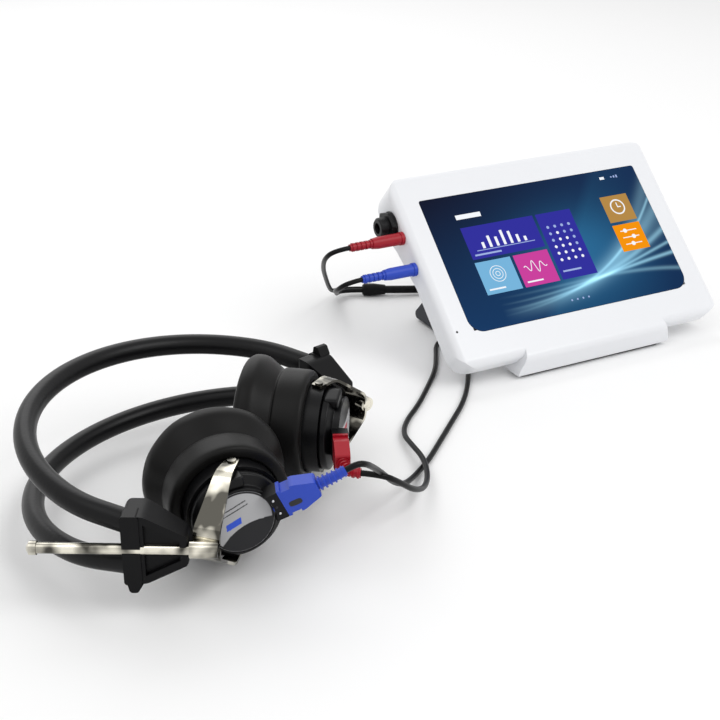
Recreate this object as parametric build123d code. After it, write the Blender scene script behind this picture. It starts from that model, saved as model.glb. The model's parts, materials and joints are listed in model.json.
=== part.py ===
from build123d import *
import math
import os

# Clinical audiometer with its two-earphone headset, lengths in millimetres.
# X runs to the right of the screen, Y away from the user, Z up from the table.
# The origin is on the table, at the middle of the foot that the screen unit stands on.

overrun = 1.0
least_edge = 0.001
running_gap = 0.05
seat_gap = 0.1

# Screen unit, measured from the middle of the screen
screen_lean = 43.0
body_above = 61.0
body_below = 62.0
body_depth = 13.4
hump_depth = 25.0
hump_low = -5.0
hump_foot = 22.0
hump_foot_depth = 18.4
hump_peak = 40.0
hump_top_depth = 19.0
wall = 2.4
face_corner = 12.0
face_round = 5.0
back_round = 4.0
hump_round = 14.0
shell_seam = 9.4

# Glass and display
glass_width = 154.0
side_border = 15.0
body_width = glass_width + 2 * side_border
glass_height = 86.0
glass_thick = 1.8
glass_top_corner = 1.5
glass_bottom_corner = 9.0
glass_ledge = 1.7
display_thick = 4.2
display_rim = 1.2
display_corner = 2.0

# Board and battery
board_width = 118.0
board_height = 74.0
board_thick = 1.6
board_down = 6.0
chip_size = 16.0
chip_height_share = 0.75
chip_column_share = 0.25
chip_row_share = 0.2
chip_thick = 1.1
battery_width = 96.0
battery_height = 18.0
battery_thick = 7.0
battery_up = 40.0
battery_back = 19.0
rib_thick = 2.0
rib_spacing = 30.0
post_radius = 3.0

# Patient jack in the left side
jack_up = 37.0
jack_back = 13.6
jack_radius = 6.0
jack_proud = 9.0
jack_inside = 22.0
jack_bore = 3.2
jack_rim = 1.0
nut_across = 16.0
nut_thick = 3.0
washer_radius = 8.6
washer_thick = 0.8

# Two phone jacks below it
red_jack_up = 25.0
blue_jack_up = 4.7
phone_jack_back = 6.8
phone_jack_width = 8.0
phone_jack_thick = 5.0
phone_jack_gap = 0.7
phone_jack_long = side_border - wall + glass_ledge - phone_jack_gap
pin_radius = 1.75
pin_long = 13.0
plug_radius = 3.5
plug_long = 20.0
plug_flange = 2.0
plug_flange_step = 0.4
boot_radius = 2.5
boot_long = 14.0
boot_ribs = 5
boot_groove = 0.5

# Power key and charging port in the right side
key_up = 22.0
key_back = 9.0
key_radius = 3.4
key_proud = 1.0
key_travel = 0.8
key_flange = 1.1
key_flange_thick = 0.8
switch_width = 13.0
switch_thick = 9.6
switch_long = 6.0
port_up = -8.0
port_back = 6.8
port_width = 9.0
port_thick = 3.2
port_shell = 0.35
port_long = 7.3

# Foot bar and its rubber strip
bar_seam = 57.0
bar_lip = 64.5
bar_half_bottom = 55.0
bar_half_top = 48.0
bar_front = 6.5
bar_back = 7.5
bar_back_rise = 8.0
strip_thick = 1.5
strip_inset = 6.0
strip_half_depth = 3.6
contact_below = 67.0
contact_back = 17.0

# Rear stand
stand_axis_up = 5.0
stand_axis_out = 5.5
stand_thick = 5.0
stand_half = 61.0
stand_leg = 15.0
stand_bar = 16.0
stand_rear = 94.5
stand_toe = 71.0
stand_bend = 11.0
stand_pad_thick = 1.5
stand_pad_inset = 2.5
stand_lug_radius = 4.2
stand_lug_width = 10.0
stand_pin_radius = 1.5
stand_boss_width = 8.0
stand_boss_at = 38.0

# Housing screws
screw_head = 2.8
screw_head_thick = 1.8
screw_shank = 1.3
screw_long = 7.0
screw_side = 10.0
screw_up_share = 0.78

# Headband
headset_x = -307.8
headset_y = 9.2
headset_turn = -53.0
headset_height = 32.5
crown_radius = 84.3
crown_angle = 73.0
side_radius = 56.0
side_angle = 93.0
band_leg = 13.0
crown_gap = 40.0
mouth_gap = 19.5
band_radius = 5.1
wire_radius = 2.0
band_seat = 7.0

# Holder at each end of the bands
holder_toe = 24.0
holder_behind = 1.5
holder_long = 25.5
holder_half = 16.0
holder_end_half = 6.5
holder_outer = 7.0
holder_inner = 8.0
holder_end_inner = 3.0
holder_waist = 8.0
holder_round = 3.0
holder_pocket = 2.0
holder_border = 3.4
ridge_long = 7.5
ridge_proud = 0.6
ridge_round = 1.5
tab_drop = 4.0
tab_width = 5.0
tab_depth = 6.0

# Slide rod and fork
rod_radius = 2.35
rod_out = 5.4
rod_free = 38.5
rod_cap_radius = 2.95
rod_cap_long = 4.0
fork_base_at = 31.7
fork_base_long = 11.6
knuckle_wall = 1.3
fork_thick = 1.3
fork_tip_width = 5.0
fork_tip_round = 2.4
fork_tip_past = 2.4
pivot_ahead = 40.3
pivot_inward = 27.4
fork_side_gap = 0.3
fork_flat = 9.0
fork_bend_share = 1.2
fork_plate_half = 6.0
pivot_pin_radius = 1.2
pivot_pin_deep = 1.3
pivot_head_radius = 1.9
pivot_head_thick = 0.7

# Earphone, stations along its axis from the pivots, outwards positive
left_tilt = -43.9
right_tilt = 15.0
ear_face = -36.0
rim_back = -28.0
neck_back = -19.0
collar_front = -18.0
collar_back = -4.2
cushion_radius = 32.5
rim_round = 3.2
neck_radius = 26.2
collar_radius = 27.0
collar_round = 1.6
dish_radius = 25.0
dish_deep = 5.5
ear_hole = 9.0
case_radius = 21.4
case_front = -20.0
case_wall = 2.0
case_back = 3.0
cap_step_radius = 20.0
pivot_half = max(case_radius, cap_step_radius) + fork_side_gap + fork_thick
cap_step = 6.5
cap_radius = 15.6
cap_back = 12.0
cap_round = 1.2
label_radius = 14.4
label_thick = 0.6
driver_radius = 17.0
driver_thick = 9.0
magnet_radius = 11.0
magnet_thick = 6.0

# Earphone socket, plug and boot
socket_station = 8.6
socket_tip = 20.0
socket_root = 4.0
socket_width = 13.6
socket_thick = 7.6
socket_lean = 15.0
left_socket_clock = 25.0
right_socket_clock = 178.0
contact_radius = 1.0
contact_spacing = 6.4
contact_long = 5.5
ear_plug_long = 16.5
ear_plug_width = 14.0
ear_plug_end_width = 7.6
ear_plug_thick = 7.0
ear_plug_notch = 2.2
ear_plug_straight_share = 0.45
ear_boot_long = 13.0
ear_boot_radius = 3.1
ear_boot_core = 2.2
ear_boot_ribs = 6
rib_fill_share = 0.55
left_boot_bend = -12.0
right_boot_bend = 75.0

# Cords
tail_diameter = 2.8
lead_diameter = 2.8
trunk_diameter = 5.0
bend_share = 0.45
coil_radius = 27.5
coil_turns = 8
coil_gap = 0.8
coil_climb_gap = 0.6
coil_x = 34.0
coil_y = 166.0
yoke_radius = 4.0
yoke_long = 15.0
yoke_x = -72.0
yoke_y = 146.5
yoke_azimuth = -27.3
yoke_entry = 1.65
yoke_rim = 1.2
splitter_x = 52.0
splitter_y = 114.0
splitter_azimuth = -143.1
splitter_long = 20.0
splitter_width = 11.0
splitter_height = 6.0
splitter_spacing = 5.0
splitter_corner = 2.0

# Cord routes, each from its first piece to its last, laid by hand
red_tail_route = [
    (-138.0, 60.33, 70.2),
    (-143.0, 72.0, 63.0),
    (-134.0, 94.0, 50.0),
    (-118.0, 116.0, 33.0),
    (-106.0, 134.0, 17.0),
    (-97.0, 149.0, 6.5),
    (-83.68, 154.39, 4.0),
]
blue_tail_route = [
    (-138.0, 45.48, 56.36),
    (-142.0, 58.0, 51.0),
    (-131.0, 80.0, 41.0),
    (-114.0, 103.0, 27.0),
    (-101.0, 122.0, 13.5),
    (-96.0, 140.5, 5.5),
    (-84.31, 150.99, 4.0),
]
trunk_route = [
    (-46.23, 133.2, 4.0),
    (-24.0, 127.0, 2.5),
    (-2.2, 137.0, 2.5),
]
lead_trunk_route = [
    (76.0, 149.0, 8.1),
    (73.0, 134.0, 4.6),
    (61.6, 121.2, 3.0),
]
red_lead_route = [
    (24.91, 96.79, 3.0),
    (4.0, 84.0, 1.4),
    (-18.0, 73.0, 1.4),
    (-40.0, 66.0, 1.4),
    (-58.0, 63.0, 1.4),
    (-71.0, 55.0, 1.4),
    (-79.0, 41.0, 1.4),
    (-89.0, 25.0, 1.4),
    (-104.0, 8.0, 1.4),
    (-120.0, -9.0, 1.4),
    (-135.0, -22.0, 1.4),
    (-145.0, -36.0, 2.4),
    (-148.5, -52.0, 4.4),
    (-151.0, -67.0, 5.4),
    (-157.0, -82.0, 5.4),
    (-167.0, -96.0, 7.4),
    (-180.0, -108.0, 16.0),
    (-192.0, -114.5, 27.0),
    (-201.28, -116.4, 33.99),
]
blue_lead_route = [
    (27.91, 92.79, 3.0),
    (8.0, 79.0, 1.4),
    (-12.0, 66.0, 1.4),
    (-34.0, 52.0, 1.4),
    (-54.0, 38.0, 1.4),
    (-70.0, 20.0, 1.4),
    (-84.0, -2.0, 1.4),
    (-98.0, -19.0, 1.4),
    (-114.0, -34.0, 1.4),
    (-131.0, -50.0, 1.4),
    (-147.0, -65.0, 1.4),
    (-161.0, -76.0, 2.2),
    (-174.0, -88.0, 7.0),
    (-189.0, -104.0, 27.0),
    (-202.0, -122.0, 49.0),
    (-216.68, -136.29, 58.73),
]


def screen_place():
    """The frame of the screen: X right, Y up the glass, Z out of it."""
    lean = math.radians(screen_lean)
    back = contact_below * math.cos(lean) - contact_back * math.sin(lean)
    up = contact_below * math.sin(lean) + contact_back * math.cos(lean)
    return Pos(0, back, up) * Rot(screen_lean, 0, 0)


def screen_point(along, out):
    """World Y and Z of a point of the screen's own side view."""
    lean = math.radians(screen_lean)
    origin = screen_place().position
    y = origin.Y + along * math.cos(lean) - out * math.sin(lean)
    z = origin.Z + along * math.sin(lean) + out * math.cos(lean)
    return y, z


def rounded(points, radii):
    """A flat face through the points, each corner rounded by its own radius."""
    corners = [Vector(*point) for point in points]
    count = len(corners)
    starts = []
    ends = []
    middles = []
    for index, here in enumerate(corners):
        before = corners[index - 1]
        after = corners[(index + 1) % count]
        into = (here - before).normalized()
        away = (after - here).normalized()
        half_turn = math.radians(into.get_angle(away)) / 2
        radius = radii[index]
        cut = radius * math.tan(half_turn)
        starts.append(here - into * cut)
        ends.append(here + away * cut)
        inward = (away - into).normalized()
        reach = radius / math.cos(half_turn)
        middles.append(here + inward * (reach - radius))
    edges = []
    for index in range(count):
        if radii[index] > 0:
            edges.append(ThreePointArc(starts[index], middles[index], ends[index]))
        following = starts[(index + 1) % count]
        if (following - ends[index]).length > least_edge:
            edges.append(Line(ends[index], following))
    return make_face(edges)


def body_solid(inset):
    """The outer form of the screen unit, drawn in by the inset for its hollow."""
    half = body_width / 2
    outline_points = [
        (-half, -body_below),
        (half, -body_below),
        (half, body_above),
        (-half, body_above),
    ]
    outline = rounded(outline_points, [face_corner] * 4)
    side_points = [
        (-body_below, 0),
        (body_above, 0),
        (body_above, -hump_top_depth),
        (hump_peak, -hump_depth),
        (hump_foot, -hump_foot_depth),
        (hump_low, -body_depth),
        (-body_below, -body_depth),
    ]
    side_radii = [face_round, face_round, face_round, hump_round, hump_round, hump_round, back_round]
    side = rounded(side_points, side_radii)
    end_points = [(-half, 0), (half, 0), (half, -hump_depth), (-half, -hump_depth)]
    end = rounded(end_points, [face_round, face_round, back_round, back_round])
    if inset:
        outline = offset(outline, -inset)
        side = offset(side, -inset)
        end = offset(end, -inset)
    deep = extrude(Pos(0, 0, overrun) * outline, -(hump_depth + 2 * overrun))
    across = extrude(Plane.YZ * side, body_width / 2, both=True)
    down = extrude(Plane.XZ * end, body_width, both=True)
    return deep & across & down


def glass_face(grow):
    """The outline of the cover glass, grown by a clearance."""
    half_x = glass_width / 2 + grow
    half_y = glass_height / 2 + grow
    points = [(-half_x, -half_y), (half_x, -half_y), (half_x, half_y), (-half_x, half_y)]
    radii = [glass_bottom_corner, glass_bottom_corner, glass_top_corner, glass_top_corner]
    return rounded(points, radii)


def screw_places():
    """The four screw positions on the back of the screen unit."""
    side = body_width / 2 - screw_side
    rise = body_below * screw_up_share
    return [(side, -rise), (-side, -rise), (side, rise), (-side, rise)]


def back_depth(along):
    """Depth of the back face at a height above the middle, away from its roundings."""
    levels = [
        (-body_below, body_depth),
        (hump_low, body_depth),
        (hump_foot, hump_foot_depth),
        (hump_peak, hump_depth),
        (body_above, hump_top_depth),
    ]
    for low, high in zip(levels, levels[1:]):
        if along <= high[0]:
            share = (along - low[0]) / (high[0] - low[0])
            return low[1] + share * (high[1] - low[1])
    return hump_top_depth


def stand_axis():
    """World Y and Z of the stand's hinge, just behind the back face."""
    return screen_point(stand_axis_up, -(back_depth(stand_axis_up) + stand_axis_out))


def foot_bar_blank():
    """The foot bar before the housing is taken from it."""
    lean = math.radians(screen_lean)
    seam = screen_point(-bar_seam, 0)
    lip = screen_point(-bar_lip, 0)
    inner = screen_point(-bar_seam, -body_depth)
    points = [
        seam,
        lip,
        (-bar_front, strip_thick),
        (bar_back, strip_thick),
        (bar_back + bar_back_rise * math.cos(lean) / 2, bar_back_rise),
        inner,
    ]
    radii = [0, face_round, face_round / 2, face_round / 4, face_round / 4, 0]
    side = rounded(points, radii)
    bar = extrude(Plane.YZ * side, bar_half_bottom, both=True)
    top = seam[1]
    ends = [
        (-bar_half_bottom, 0),
        (bar_half_bottom, 0),
        (bar_half_top, top),
        (-bar_half_top, top),
    ]
    front = rounded(ends, [back_round, back_round, 0, 0])
    return bar & extrude(Plane.XZ * front, body_width, both=True)


def side_cylinder(x_from, x_to, up, out, radius):
    """A round bar along X in the screen frame, between two X values."""
    disc = Plane.YZ * Pos(up, out) * Circle(radius)
    return extrude(Pos(x_from, 0, 0) * disc, x_to - x_from)


def side_block(x_from, x_to, up, out, height, depth):
    """A square bar along X in the screen frame, between two X values."""
    block = Plane.YZ * Pos(up, out) * Rectangle(height, depth)
    return extrude(Pos(x_from, 0, 0) * block, x_to - x_from)


def side_profile(points, up, out):
    """A turned piece along X in the screen frame, from points of X and radius."""
    face = make_face(Polyline(*points, close=True))
    turned = revolve(face, Axis.X, 360)
    return Pos(0, up, out) * turned


def make_screen_unit():
    """Every fixed piece of the screen unit, in the world frame."""
    half = body_width / 2
    inner = half - wall
    outer_form = body_solid(0)
    hollow = body_solid(wall)
    glass_pocket = extrude(glass_face(seat_gap), -glass_thick)
    display_width = glass_width - 2 * glass_ledge
    display_height = glass_height - 2 * glass_ledge
    window = extrude(Rectangle(display_width + 2 * seat_gap, display_height + 2 * seat_gap), -body_depth)
    ledge_frame = extrude(Rectangle(glass_width + 2 * wall, glass_height + 2 * wall), -(glass_thick + wall))
    ledge_frame = ledge_frame & outer_form
    bar_local = screen_place().inverse() * foot_bar_blank()
    front_half = Pos(0, 0, -shell_seam + body_width) * Box(2 * body_width, 2 * body_width, 2 * body_width)
    shell = outer_form - hollow - bar_local

    # Holes in the left side
    jack_hole = side_cylinder(-half - overrun, -inner + overrun, jack_up, -jack_back, jack_radius + seat_gap)
    shell = shell - jack_hole
    for up in (red_jack_up, blue_jack_up):
        hole = side_cylinder(-half - overrun, -inner + overrun, up, -phone_jack_back, pin_radius + seat_gap)
        shell = shell - hole

    # Holes in the right side
    key_hole = side_cylinder(inner - overrun, half + overrun, key_up, -key_back, key_radius + running_gap)
    port_hole = side_block(inner - overrun, half + overrun, port_up, -port_back, port_width, port_thick)
    shell = shell - key_hole - port_hole

    # The front shell carries the glass on a ledge round the window
    front = (shell & front_half) + ledge_frame
    front = front - glass_pocket - window

    # The rear shell carries the board, the battery, the screws and the stand
    rear = shell - front_half
    posts = []
    board_back = -(glass_thick + display_thick + overrun + chip_thick + board_thick)
    for x, y in screw_places():
        post = extrude(Pos(x, y, -shell_seam) * Circle(post_radius + wall / 2), -hump_depth)
        posts.append(post & hollow)
    for x in (-board_width / 2 + post_radius, board_width / 2 - post_radius):
        for y in (-board_height / 2 + post_radius, board_height / 2 - post_radius):
            post = extrude(Pos(x, y - board_down, board_back) * Circle(post_radius), -hump_depth)
            posts.append(post & hollow)
    battery_box = Pos(0, battery_up, -battery_back + battery_thick / 2) * Box(
        battery_width, battery_height, battery_thick
    )
    for index in (-1, 0, 1):
        rib = Pos(index * rib_spacing, battery_up, -battery_back) * Box(
            rib_thick, battery_height, battery_thick
        )
        posts.append((rib & hollow) - battery_box)
    for post in posts:
        rear = rear + post

    # Hinge bosses for the stand, tangent to the round of the hinge pin
    axis_back = -(back_depth(stand_axis_up) + stand_axis_out)
    for side in (-1, 1):
        middle = side * (stand_boss_at - stand_lug_width / 2 - stand_boss_width / 2 - seat_gap)
        barrel = side_cylinder(
            middle - stand_boss_width / 2,
            middle + stand_boss_width / 2,
            stand_axis_up,
            axis_back,
            stand_lug_radius,
        )
        root = side_block(
            middle - stand_boss_width / 2,
            middle + stand_boss_width / 2,
            stand_axis_up,
            axis_back + stand_axis_out / 2 + wall / 4,
            2 * stand_lug_radius,
            stand_axis_out + wall / 2,
        )
        boss = barrel + root
        pin_hole = side_cylinder(-half, half, stand_axis_up, axis_back, stand_pin_radius)
        rear = rear + (boss - pin_hole)

    # Countersunk screws from the back
    screws = []
    screw_tops = []
    for x, y in screw_places():
        depth = back_depth(y)
        head = extrude(Pos(x, y, -depth) * Circle(screw_head), screw_head_thick)
        shank = extrude(Pos(x, y, -depth + screw_head_thick) * Circle(screw_shank), screw_long)
        slot = extrude(Pos(x, y, -depth) * RegularPolygon(screw_shank, 6), screw_head_thick / 2)
        screws.append(head + shank - slot)
        screw_tops.append(extrude(Pos(x, y, -depth - overrun) * Circle(screw_head), screw_head_thick + overrun))
        screw_tops.append(shank)
    for cut in screw_tops:
        rear = rear - cut
        front = front - cut

    glass = extrude(glass_face(0), -glass_thick)
    display_face = RectangleRounded(display_width, display_height, display_corner)
    display = extrude(Pos(0, 0, -glass_thick) * display_face, -display_thick)
    recess = extrude(
        Pos(0, 0, -glass_thick - display_thick)
        * Rectangle(display_width - 2 * display_rim, display_height - 2 * display_rim),
        display_rim,
    )
    display = display - recess

    board_face = Rectangle(board_width, board_height)
    board_top = board_back + board_thick
    board = extrude(Pos(0, -board_down, board_back) * board_face, board_thick)
    for column in (-1, 0, 1):
        for row in (-1, 1):
            across = column * board_width * chip_column_share
            rise = row * board_height * chip_row_share - board_down
            chip = Pos(across, rise, board_top) * Rectangle(chip_size, chip_size * chip_height_share)
            board = board + extrude(chip, chip_thick)

    # Patient jack: threaded nose, washer, nut and the body inside the wall
    inside_start = -inner
    nose_tip = -half - jack_proud
    jack_profile = [
        (nose_tip, jack_bore),
        (nose_tip, jack_radius - jack_rim),
        (nose_tip + jack_rim, jack_radius),
        (inside_start, jack_radius),
        (inside_start, jack_radius + jack_rim),
        (inside_start + jack_inside, jack_radius + jack_rim),
        (inside_start + jack_inside, jack_bore),
    ]
    jack = side_profile(jack_profile, jack_up, -jack_back)
    washer = side_cylinder(-half - washer_thick, -half, jack_up, -jack_back, washer_radius)
    nut_face = Plane.YZ * Pos(jack_up, -jack_back) * RegularPolygon(nut_across / 2, 6, major_radius=False)
    nut = extrude(Pos(-half - washer_thick - nut_thick, 0, 0) * nut_face, nut_thick)
    nut = nut + washer - side_cylinder(-half - jack_proud, -half, jack_up, -jack_back, jack_radius)

    # Phone jacks behind the wall
    phone_jacks = {}
    for name, up in (("right_phone_jack", red_jack_up), ("left_phone_jack", blue_jack_up)):
        block = side_block(
            -inner, -inner + phone_jack_long, up, -phone_jack_back, phone_jack_width, phone_jack_thick
        )
        bore = side_cylinder(-inner - overrun, -half + pin_long, up, -phone_jack_back, pin_radius + running_gap)
        phone_jacks[name] = (block - bore) & hollow

    # Power key, its switch and the charging port
    flange_face = inner - key_flange_thick
    key = side_cylinder(inner, half + key_proud, key_up, -key_back, key_radius)
    flange = side_cylinder(flange_face, inner, key_up, -key_back, key_radius + key_flange)
    key = key + (flange & hollow)
    rim_edges = key.edges().filter_by(GeomType.CIRCLE).sort_by(Axis.X)[-1]
    key = fillet(rim_edges, key_proud / 2)
    switch = side_block(inner - switch_long, inner, key_up, -key_back, switch_width, switch_thick) & hollow
    pocket_long = key_flange_thick + key_travel + seat_gap
    pocket_radius = key_radius + key_flange + seat_gap
    switch = switch - side_cylinder(inner - pocket_long, inner, key_up, -key_back, pocket_radius)
    port = side_block(half - port_long, half, port_up, -port_back, port_width, port_thick)
    port = port - side_block(
        half - port_long + port_shell,
        half + overrun,
        port_up,
        -key_back,
        port_width - 2 * port_shell,
        port_thick - 2 * port_shell,
    )
    tongue = side_block(half - port_long, half - port_shell, port_up, -port_back, port_width / 2, 2 * port_shell)
    port = port + tongue

    stand_pin = side_cylinder(
        -stand_boss_at - stand_lug_width / 2,
        stand_boss_at + stand_lug_width / 2,
        stand_axis_up,
        axis_back,
        stand_pin_radius,
    )

    # Where the port and the switch pass through the ledge frame of the front shell
    keep_clear = side_block(
        half - port_long - seat_gap, half, port_up, -port_back, port_width, port_thick
    )
    front = front - keep_clear
    place = screen_place()
    pieces = {
        "front_housing": front,
        "rear_housing": rear,
        "touch_glass": glass,
        "display_module": display,
        "main_board": board,
        "battery_pack": battery_box,
        "housing_screws": Compound(children=[screw.solid() for screw in screws]),
        "patient_jack": jack,
        "patient_jack_nut": nut,
        "power_key": key,
        "power_switch": switch,
        "charge_port": port,
        "stand_pin": stand_pin,
    }
    pieces.update(phone_jacks)
    placed = {name: place * piece for name, piece in pieces.items()}
    placed["foot_bar"] = foot_bar_blank() - place * hollow
    strip = Pos(0, 0, strip_thick / 2) * Box(
        2 * (bar_half_bottom - strip_inset), 2 * strip_half_depth, strip_thick
    )
    placed["foot_strip"] = fillet(strip.edges().filter_by(Axis.Z), strip_half_depth / 2)
    return placed


def make_stand():
    """The rear stand: two bent legs joined by a bar at the hinge, and its two pads."""
    axis_y, axis_z = stand_axis()
    rear_low = stand_pad_thick
    knee = (stand_rear, rear_low + stand_thick / 2)
    slope = math.atan2(knee[1] - axis_z, knee[0] - axis_y)
    across = (-math.sin(slope), math.cos(slope))
    half_thick = stand_thick / 2
    top_out = (axis_y + across[0] * half_thick, axis_z + across[1] * half_thick)
    top_in = (axis_y - across[0] * half_thick, axis_z - across[1] * half_thick)
    run = (math.cos(slope), math.sin(slope))
    span = (stand_rear - axis_y) / run[0]
    points = [
        top_out,
        (top_out[0] + run[0] * span, top_out[1] + run[1] * span),
        (stand_rear + half_thick, rear_low),
        (stand_toe, rear_low),
        (stand_toe, rear_low + stand_thick),
        (stand_rear - stand_bend, rear_low + stand_thick),
        top_in,
    ]
    radii = [0, stand_thick / 2, stand_thick / 2, stand_thick / 3, stand_thick / 3, stand_thick, 0]
    side = rounded(points, radii)
    plate = extrude(Plane.YZ * side, stand_half, both=True)
    window_half = stand_half - stand_leg
    cut_from = axis_y + stand_bar * run[0]
    window = Pos(0, cut_from + body_width / 2, 0) * Box(2 * window_half, body_width, 2 * body_width)
    plate = plate - window

    # Lugs that turn on the pin, beside the bosses of the rear shell
    pin_hole = Plane.YZ * Pos(axis_y, axis_z) * Circle(stand_pin_radius + running_gap)
    barrel = Plane.YZ * Pos(axis_y, axis_z) * Circle(stand_lug_radius - seat_gap)
    free = Plane.YZ * Pos(axis_y, axis_z) * Circle(stand_lug_radius + 2 * seat_gap)
    plate = plate - extrude(free, body_width, both=True)
    for side_sign in (-1, 1):
        lug = extrude(barrel, stand_lug_width / 2, both=True)
        arm = Pos(0, axis_y + run[0] * stand_bar / 2, axis_z + run[1] * stand_bar / 2) * Rot(
            math.degrees(slope), 0, 0
        ) * Box(stand_lug_width, stand_bar, stand_thick)
        plate = plate + Pos(side_sign * stand_boss_at, 0, 0) * (lug + arm)
    plate = plate - extrude(pin_hole, body_width, both=True)
    pad_long = stand_rear - stand_toe - 2 * stand_pad_inset
    pads = []
    for side_sign in (-1, 1):
        middle = Pos(
            side_sign * (stand_half - stand_leg / 2), (stand_rear + stand_toe) / 2, stand_pad_thick / 2
        )
        pad = middle * Box(stand_leg - 2 * stand_pad_inset, pad_long, stand_pad_thick)
        pads.append(fillet(pad.edges().filter_by(Axis.Z), stand_pad_inset))
    return {"rear_stand": plate, "stand_pads": Compound(children=[pad.solid() for pad in pads])}


def headset_place():
    """The headset frame: X from the crown to the earphones, Y from left to right ear."""
    return Pos(headset_x, headset_y, headset_height) * Rot(0, 0, headset_turn)


def band_drop():
    """Angle by which each band leans towards the other from crown to mouth."""
    reach = crown_radius * (1 - math.cos(math.radians(crown_angle)))
    reach += side_radius * (math.cos(math.radians(crown_angle)) - math.cos(math.radians(side_angle)))
    reach += band_leg * math.sin(math.radians(side_angle))
    return math.asin((crown_gap - mouth_gap) / 2 / reach), reach


def band_path(extra):
    """Arcs of one band in its own plane, each end lengthened by the extra."""
    turn = math.radians(crown_angle)
    inset_centre = crown_radius - (crown_radius - side_radius) * math.cos(turn)
    side_centre = (crown_radius - side_radius) * math.sin(turn)
    crown = CenterArc((crown_radius, 0), crown_radius, 180 - crown_angle, 2 * crown_angle)
    side_span = side_angle - crown_angle
    left = CenterArc((inset_centre, -side_centre), side_radius, 180 + crown_angle, side_span)
    right = CenterArc((inset_centre, side_centre), side_radius, 180 - side_angle, side_span)
    leg = band_leg + extra
    run = (math.sin(math.radians(side_angle)), math.cos(math.radians(side_angle)))
    left_end = left @ 1
    right_end = right @ 0
    left_leg = Line(left_end, (left_end.X + leg * run[0], left_end.Y - leg * run[1]))
    right_leg = Line((right_end.X + leg * run[0], right_end.Y + leg * run[1]), right_end)
    return Curve() + [right_leg, right, crown, left, left_leg]


def band_plane(sign):
    """The leaning plane of the upper (1) or lower (-1) band."""
    drop, reach = band_drop()
    return Plane(
        origin=(0, 0, sign * crown_gap / 2),
        x_dir=(math.cos(drop), 0, -sign * math.sin(drop)),
        z_dir=(sign * math.sin(drop), 0, math.cos(drop)),
    )


def band_tube(sign, radius, extra):
    """A round bar along one band's path."""
    path = band_plane(sign) * band_path(extra)
    start = path @ 0
    profile = Plane(origin=start, z_dir=path % 0) * Circle(radius)
    return sweep(profile, path=path)


def mouth():
    """The point midway between the ends of the two bands on the left side."""
    drop, reach = band_drop()
    turn = math.radians(crown_angle)
    final = math.radians(side_angle)
    half = crown_radius * math.sin(turn) + side_radius * (math.sin(final) - math.sin(turn))
    half += band_leg * math.cos(final)
    return reach * math.cos(drop), half


def holder_place():
    """The left holder's frame: X along the slide rod, Y inwards, Z up."""
    ahead, half = mouth()
    return Pos(ahead, -half, 0) * Rot(0, 0, holder_toe)


def make_holder():
    """The left holder in its own frame, before the bands are taken from it."""
    side_points = [
        (-holder_behind, -holder_half),
        (ridge_long, -holder_half),
        (holder_long, -holder_end_half),
        (holder_long, holder_end_half),
        (ridge_long, holder_half),
        (-holder_behind, holder_half),
    ]
    side_radii = [holder_round, holder_round * 3, holder_round, holder_round, holder_round * 3, holder_round]
    side = rounded(side_points, side_radii)
    block = extrude(Plane.XZ * side, 2 * holder_inner, both=True)
    plan_points = [
        (-holder_behind, -holder_outer),
        (holder_long, -holder_outer),
        (holder_long, holder_end_inner),
        (holder_waist, holder_inner),
        (-holder_behind, holder_inner),
    ]
    plan = rounded(plan_points, [0, holder_round / 2, holder_round, holder_round * 3, holder_round])
    block = block & extrude(plan, holder_half + overrun, both=True)

    # A sunk panel on the outer face leaves a raised border and lets the rod show
    panel = offset(side, -holder_border)
    keep = Pos(holder_long / 2 + ridge_long / 2, 0, 0) * Box(holder_long - ridge_long, body_width, body_width)
    panel = extrude(Plane.XZ.offset(holder_outer - holder_pocket) * panel, holder_pocket + overrun)
    block = block - (panel & keep)

    # The ridge round the mouth, with its finger tab below
    ridge_face = RectangleRounded(ridge_long, 2 * holder_half + ridge_proud, ridge_round)
    ridge_middle = ridge_long / 2 - holder_behind
    ridge = extrude(Plane.XZ * Pos(ridge_middle, 0) * ridge_face, holder_outer + ridge_proud)
    tab_face = [
        (ridge_middle - tab_width / 2, -holder_half),
        (ridge_middle - tab_width / 3, -holder_half - tab_drop),
        (ridge_middle + tab_width / 3, -holder_half - tab_drop),
        (ridge_middle + tab_width / 2 + ridge_round, -holder_half),
        (ridge_middle, -holder_half + ridge_round),
    ]
    tab = rounded(tab_face, [0, ridge_round, ridge_round, 0, 0])
    tab = extrude(Plane.XZ.offset(holder_outer + ridge_proud - tab_depth) * tab, tab_depth)
    block = block + ridge + tab
    channel = Plane.YZ * Pos(-rod_out, 0) * Circle(rod_radius + running_gap)
    channel = extrude(Pos(-holder_behind - overrun, 0, 0) * channel, holder_long + holder_behind + 2 * overrun)
    return block - channel


def make_rod():
    """The left slide rod with its turned end, in the holder's frame."""
    start = -rod_free
    end = fork_base_at + fork_base_long / 2
    disc = Plane.YZ * Pos(-rod_out, 0) * Circle(rod_radius)
    rod = extrude(Pos(start, 0, 0) * disc, end - start)
    half_cap = rod_cap_long / 2
    points = [
        (start - half_cap, 0),
        (start - half_cap, rod_cap_radius / 2),
        (start - half_cap / 2, rod_cap_radius),
        (start + half_cap, rod_cap_radius),
        (start + half_cap, 0),
    ]
    cap = revolve(make_face(Polyline(*points, close=True)), Axis.X, 360)
    return rod + Pos(0, -rod_out, 0) * cap


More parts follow.
